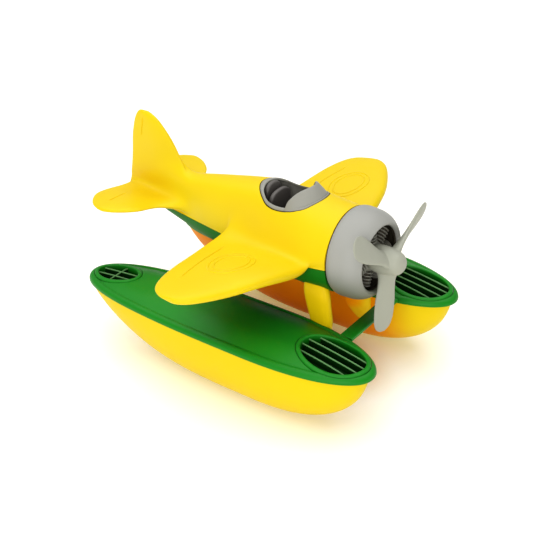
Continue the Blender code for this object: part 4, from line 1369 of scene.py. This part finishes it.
def cowling():
    """The grey ring around the engine, open at the front, with a dark ring of painted shadow in the line
    behind it and a dark sheet of painted shade inside it.
    """
    profile = smooth_path(COWL_PROFILE, 6)
    ring = add_mesh("ring", *loft(turned(profile, 128), closed_loop=True), "cowl_grey", ROUND_DEG)
    rear, front = GAP_RING_X
    inner, outer = GAP_RING_R
    line = [(rear, inner), (rear, outer), (front, outer), (front, inner)]
    # The dark ring is painted shadow in the open line behind the cowl
    gap = add_mesh("gap", *loft(turned(line, 128), closed_loop=True), "gap_brown", ROUND_DEG)
    mouth = min(range(len(profile)), key=lambda k: profile[k][1])
    # A dark sheet just inside the cowl's wall, as painted shade
    wall = [(x, r - COWL_SHADE_INSET) for x, r in profile[mouth:] if x > COWL_SHADE_FROM_X]
    skin, faces = loft(turned(wall, 128), closed_ends=False)
    lining = add_mesh("lining", skin, faces, "engine_dark", ROUND_DEG)
    return join("cowling_look", [ring, gap, lining])


ENGINE_CYLINDERS = 7
BACK_PLATE_R = 26.0
BACK_PLATE_THICK = 1.2
PIN_R = 2.0
CRANK_R = 9.0
CRANK_X = (COWL_X + GAP, 84.5)
CYLINDER_X = 83.0
CYLINDER_TURN = math.radians(-3.0)
CYLINDER_REACH = (5.0, 20.8)
FIN_FROM_R = 10.4
FIN_STEP = 2.1
FIN_THICK = 0.5
FIN_CHAMFER = 0.12
FIN_HOLE_R = 3.0
FIN_R = 5.0
BARREL_R = 3.7
BARREL_SHORT = 0.6


def engine_cylinder(angle, sides=36):
    """One radial cylinder, standing out from the crankcase, with a stack of light fins."""
    foot, head = CYLINDER_REACH
    end = head - BARREL_SHORT
    barrel = [(foot, 0.0), (foot, BARREL_R), (end, BARREL_R), (end, 0.0)]
    stacks = [("engine_dark", barrel)]
    r = FIN_FROM_R
    while r + FIN_THICK < head:
        top = r + FIN_THICK
        low = [(r, FIN_HOLE_R), (r, FIN_R - FIN_CHAMFER), (r + FIN_CHAMFER, FIN_R)]
        high = [(top - FIN_CHAMFER, FIN_R), (top, FIN_R - FIN_CHAMFER), (top, FIN_HOLE_R)]
        stacks.append(("fin_grey", low + high))
        r += FIN_STEP
    out_y = math.sin(angle)
    out_z = math.cos(angle)
    parts = []
    for colour, profile in stacks:
        rings = []
        for r, wide in profile:
            ring = []
            for c, s in circle(sides):
                across = wide * s
                y = r * out_y + across * out_z
                z = AXIS_Z + r * out_z - across * out_y
                ring.append((CYLINDER_X + wide * c, y, z))
            rings.append(ring)
        parts.append(add_mesh("cylinder", *loft(rings), colour, ENGINE_DEG))
    return parts


# Gear housing behind the propeller: x, radius
GEAR_PROFILE = [(CRANK_X[1] - 1.0, 11.6), (CRANK_X[1] + 0.4, 11.2), (CRANK_X[1] + 1.4, 10.0), (87.0, 9.0)]


def engine():
    """Back plate, crankcase, gear housing and a ring of finned cylinders."""
    x0, x2 = CRANK_X
    x1 = x0 + BACK_PLATE_THICK
    profile = [(x0, 0.0), (x0, BACK_PLATE_R), (x1, BACK_PLATE_R), (x1, CRANK_R), (x2, CRANK_R), (x2, 0.0)]
    parts = [add_mesh("crankcase", *loft(turned(profile, 72)), "engine_dark", ENGINE_DEG)]
    housing = smooth_path(GEAR_PROFILE, 6)
    pin = [(GEAR_PROFILE[-1][0], PIN_R), (PROP_X, PIN_R), (PROP_X, 0.0)]
    rings = turned([*housing, *pin], 96)
    parts.append(add_mesh("housing", *loft(rings), "gear_grey", ROUND_DEG))
    for k in range(ENGINE_CYLINDERS):
        angle = CYLINDER_TURN + math.tau * k / ENGINE_CYLINDERS
        parts += engine_cylinder(angle)
    return join("engine_look", parts)


# radius, chord, pitch in degrees, half thickness
BLADE = [
    (3.0, 14.0, 52.0, 3.4),
    (8.0, 13.2, 49.0, 3.0),
    (12.0, 11.6, 43.0, 2.5),
    (18.0, 12.2, 34.0, 2.0),
    (27.0, 14.8, 25.0, 1.7),
    (36.0, 16.2, 19.0, 1.5),
    (43.0, 15.2, 16.0, 1.2),
    (47.6, 10.6, 15.0, 0.9),
    (PROP_R, 4.8, 15.0, 0.6),
]


def blade(angle, sides=32):
    """One paddle blade, twisted along its length."""
    rings = []
    radii = [row[0] for row in BLADE]
    wanted = [radii[0] + (radii[-1] - radii[0]) * math.sin(0.5 * math.pi * k / 47.0) for k in range(48)]
    for r, (chord, pitch, thick) in zip(wanted, hermite(radii, [row[1:] for row in BLADE], wanted)):
        lean = math.radians(pitch)
        ring = []
        for c, s in circle(sides):
            along = chord / 2.0 * c
            out = thick * s
            tangent = along * math.cos(lean) - out * math.sin(lean)
            x = PROP_X + along * math.sin(lean) + out * math.cos(lean)
            y = r * math.cos(angle) - tangent * math.sin(angle)
            z = AXIS_Z + r * math.sin(angle) + tangent * math.cos(angle)
            ring.append((x, y, z))
        rings.append(ring)
    return add_mesh("blade", *loft(rings), "blade_grey")


# x, radius
HUB_PROFILE = [
    (87.2, 0.0),
    (87.2, 8.2),
    (87.5, 8.6),
    (90.0, 8.9),
    (94.0, 9.0),
    (98.0, 8.6),
    (102.5, 7.8),
    (105.6, 6.6),
    (107.6, 4.4),
    (108.6, 2.0),
    (108.8, 0.0),
]
PROP_VOXEL = 0.42
PROP_SMOOTHING = 10


def propeller():
    """Hub and three blades, melted into one moulding with soft fillets."""
    nose = smooth_path(HUB_PROFILE[3:], 6)
    profile = [*HUB_PROFILE[:3], *[tuple(p) for p in nose[:-1]], HUB_PROFILE[-1]]
    parts = [add_mesh("hub", *loft(turned(profile, 72)), "blade_grey")]
    for k in range(BLADES):
        parts.append(blade(math.radians(BLADE_START) + math.tau * k / BLADES))
    made = join("propeller_look", parts)
    melt = made.modifiers.new("melt", "REMESH")
    melt.mode = "VOXEL"
    melt.voxel_size = PROP_VOXEL * MM
    even = made.modifiers.new("even", "SMOOTH")
    even.factor = 0.5
    even.iterations = PROP_SMOOTHING
    settle(made, ALL_ROUND_DEG)
    made.data.materials.clear()
    made.data.materials.append(MATERIALS["blade_grey"])
    return made


# The pieces, each riding on its body and standing for its part


def show(piece, slot, *stands_for, body="airframe"):
    """Puts a piece on its body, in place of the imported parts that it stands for."""
    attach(piece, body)
    if stands_for:
        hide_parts(*stands_for)


show(upper_body(), "yellow_plastic", "body_upper")
show(belly_cage().build("fuselage_belly", "belly_green"), "green_plastic", "belly")
show(cockpit_tub(), "dark_grey_plastic", "cockpit_tub")
show(windscreen(), "light_grey_plastic", "windscreen")
for seat_row in SEATS:
    show(seat(*seat_row), "dark_grey_plastic", seat_row[0])
for hand, sign in SIDES:
    show(float_hull(f"hull_{hand}", sign), "yellow_plastic", f"float_hull_{hand}")
    show(float_deck(f"float_deck_{hand}", sign), "green_plastic", f"float_deck_{hand}")
    for leg_label in LEGS:
        show(leg(leg_label, hand, sign), "yellow_plastic", f"strut_{leg_label}_{hand}")
for bar_row in CROSSBARS:
    show(crossbar(*bar_row), "green_plastic", bar_row[0])
show(cowling(), "light_grey_plastic", "cowling")
show(engine(), "dark_grey_plastic", "engine")
show(propeller(), "light_grey_plastic", "propeller", body="propeller")


# Floor, lights and camera

FLOOR_HALF = 3000.0
FLOOR_WHITE = (0.93, 0.93, 0.93, 1.0)
FLOOR_SHADED = (0.88, 0.56, 0.20, 1.0)
FLOOR_GLOW = (1.0, 0.90, 0.46, 1.0)
GLOW_STRENGTH = 0.18
# In metres, half length and half width of the shaded oval, and the shares of them where it fades
SHADED_HALF = (0.112, 0.046)
SHADE_FADE = (0.45, 1.0)


def floor():
    """A plain white floor that glows faintly, like a light table, and is shaded between the floats."""
    made = bpy.data.materials.new("floor_white")
    made.use_nodes = True
    tree = made.node_tree
    shares = tree.nodes.new("ShaderNodeVectorMath")
    shares.operation = "MULTIPLY"
    place = tree.nodes.new("ShaderNodeTexCoord").outputs["Object"]
    feed(tree, shares, {0: place, 1: (1.0 / SHADED_HALF[0], 1.0 / SHADED_HALF[1], 0.0)})
    away = tree.nodes.new("ShaderNodeVectorMath")
    away.operation = "LENGTH"
    feed(tree, away, {0: shares.outputs["Vector"]})
    clear = between(tree, away.outputs["Value"], *SHADE_FADE)
    looks = {
        "Base Color": mixed(tree, clear, FLOOR_SHADED, FLOOR_WHITE),
        "Roughness": 0.85,
        "Specular IOR Level": 0.1,
        "Emission Color": FLOOR_GLOW,
        "Emission Strength": calculated(tree, "MULTIPLY", clear, GLOW_STRENGTH),
    }
    feed(tree, tree.nodes["Principled BSDF"], looks)
    MATERIALS["floor"] = made
    corners = [(-1, -1), (1, -1), (1, 1), (-1, 1)]
    points = [(x * FLOOR_HALF, y * FLOOR_HALF, -0.1) for x, y in corners]
    add_mesh("floor", points, [(0, 1, 2, 3)], "floor")


SKY_STRENGTH = 0.42
# name, place, target, size in metres, power
AREA_LIGHTS = [
    ("top", (-0.2, 0.1, 2.0), (0.0, 0.0, 0.0), 3.2, 64.0),
    ("front", (0.9, -1.9, 0.75), (0.0, 0.0, 0.08), 1.4, 26.0),
]


def area_light(name, place, target, size, power):
    """A square soft white light at a place in metres, turned to a target."""
    data = bpy.data.lights.new(name, "AREA")
    data.shape = "SQUARE"
    data.size = size
    data.energy = power
    made = put_object(name, data)
    made.location = place
    made.rotation_euler = (Vector(target) - Vector(place)).to_track_quat("-Z", "Y").to_euler()


def sky(strength):
    """Even white light from all around."""
    world = bpy.data.worlds.new("studio")
    world.use_nodes = True
    light = {"Color": (1.0, 1.0, 1.0, 1.0), "Strength": strength}
    feed(world.node_tree, world.node_tree.nodes["Background"], light)
    bpy.context.scene.world = world


# Camera fitted to the photo: target, distance and lens in millimetres, the rest in degrees
CAMERA_TARGET = (25.97, -28.19, 81.08)
CAMERA_DISTANCE = 704.24
CAMERA_BEARING = 37.69
CAMERA_HEIGHT = 30.82
CAMERA_ROLL = -2.19
CAMERA_LENS = 73.03


def camera():
    """The camera at the photo's viewing angle."""
    bearing = math.radians(CAMERA_BEARING)
    height = math.radians(CAMERA_HEIGHT)
    roll = math.radians(CAMERA_ROLL)
    flat = math.cos(height)
    back = Vector((math.sin(bearing) * flat, -math.cos(bearing) * flat, math.sin(height)))
    right = Vector((0.0, 0.0, 1.0)).cross(back).normalized()
    up = back.cross(right)
    turned_right = right * math.cos(roll) + up * math.sin(roll)
    turned_up = up * math.cos(roll) - right * math.sin(roll)
    data = bpy.data.cameras.new("photo_camera")
    data.lens = CAMERA_LENS
    data.sensor_width = 36.0
    data.clip_start = 0.01
    made = put_object("photo_camera", data)
    turn = Matrix((turned_right, turned_up, back)).transposed()
    place = (Vector(CAMERA_TARGET) + back * CAMERA_DISTANCE) * MM
    made.matrix_world = Matrix.Translation(place) @ turn.to_4x4()
    bpy.context.scene.camera = made


floor()
sky(SKY_STRENGTH)
for light_row in AREA_LIGHTS:
    area_light(*light_row)
camera()
bpy.context.scene.view_settings.view_transform = "Standard"
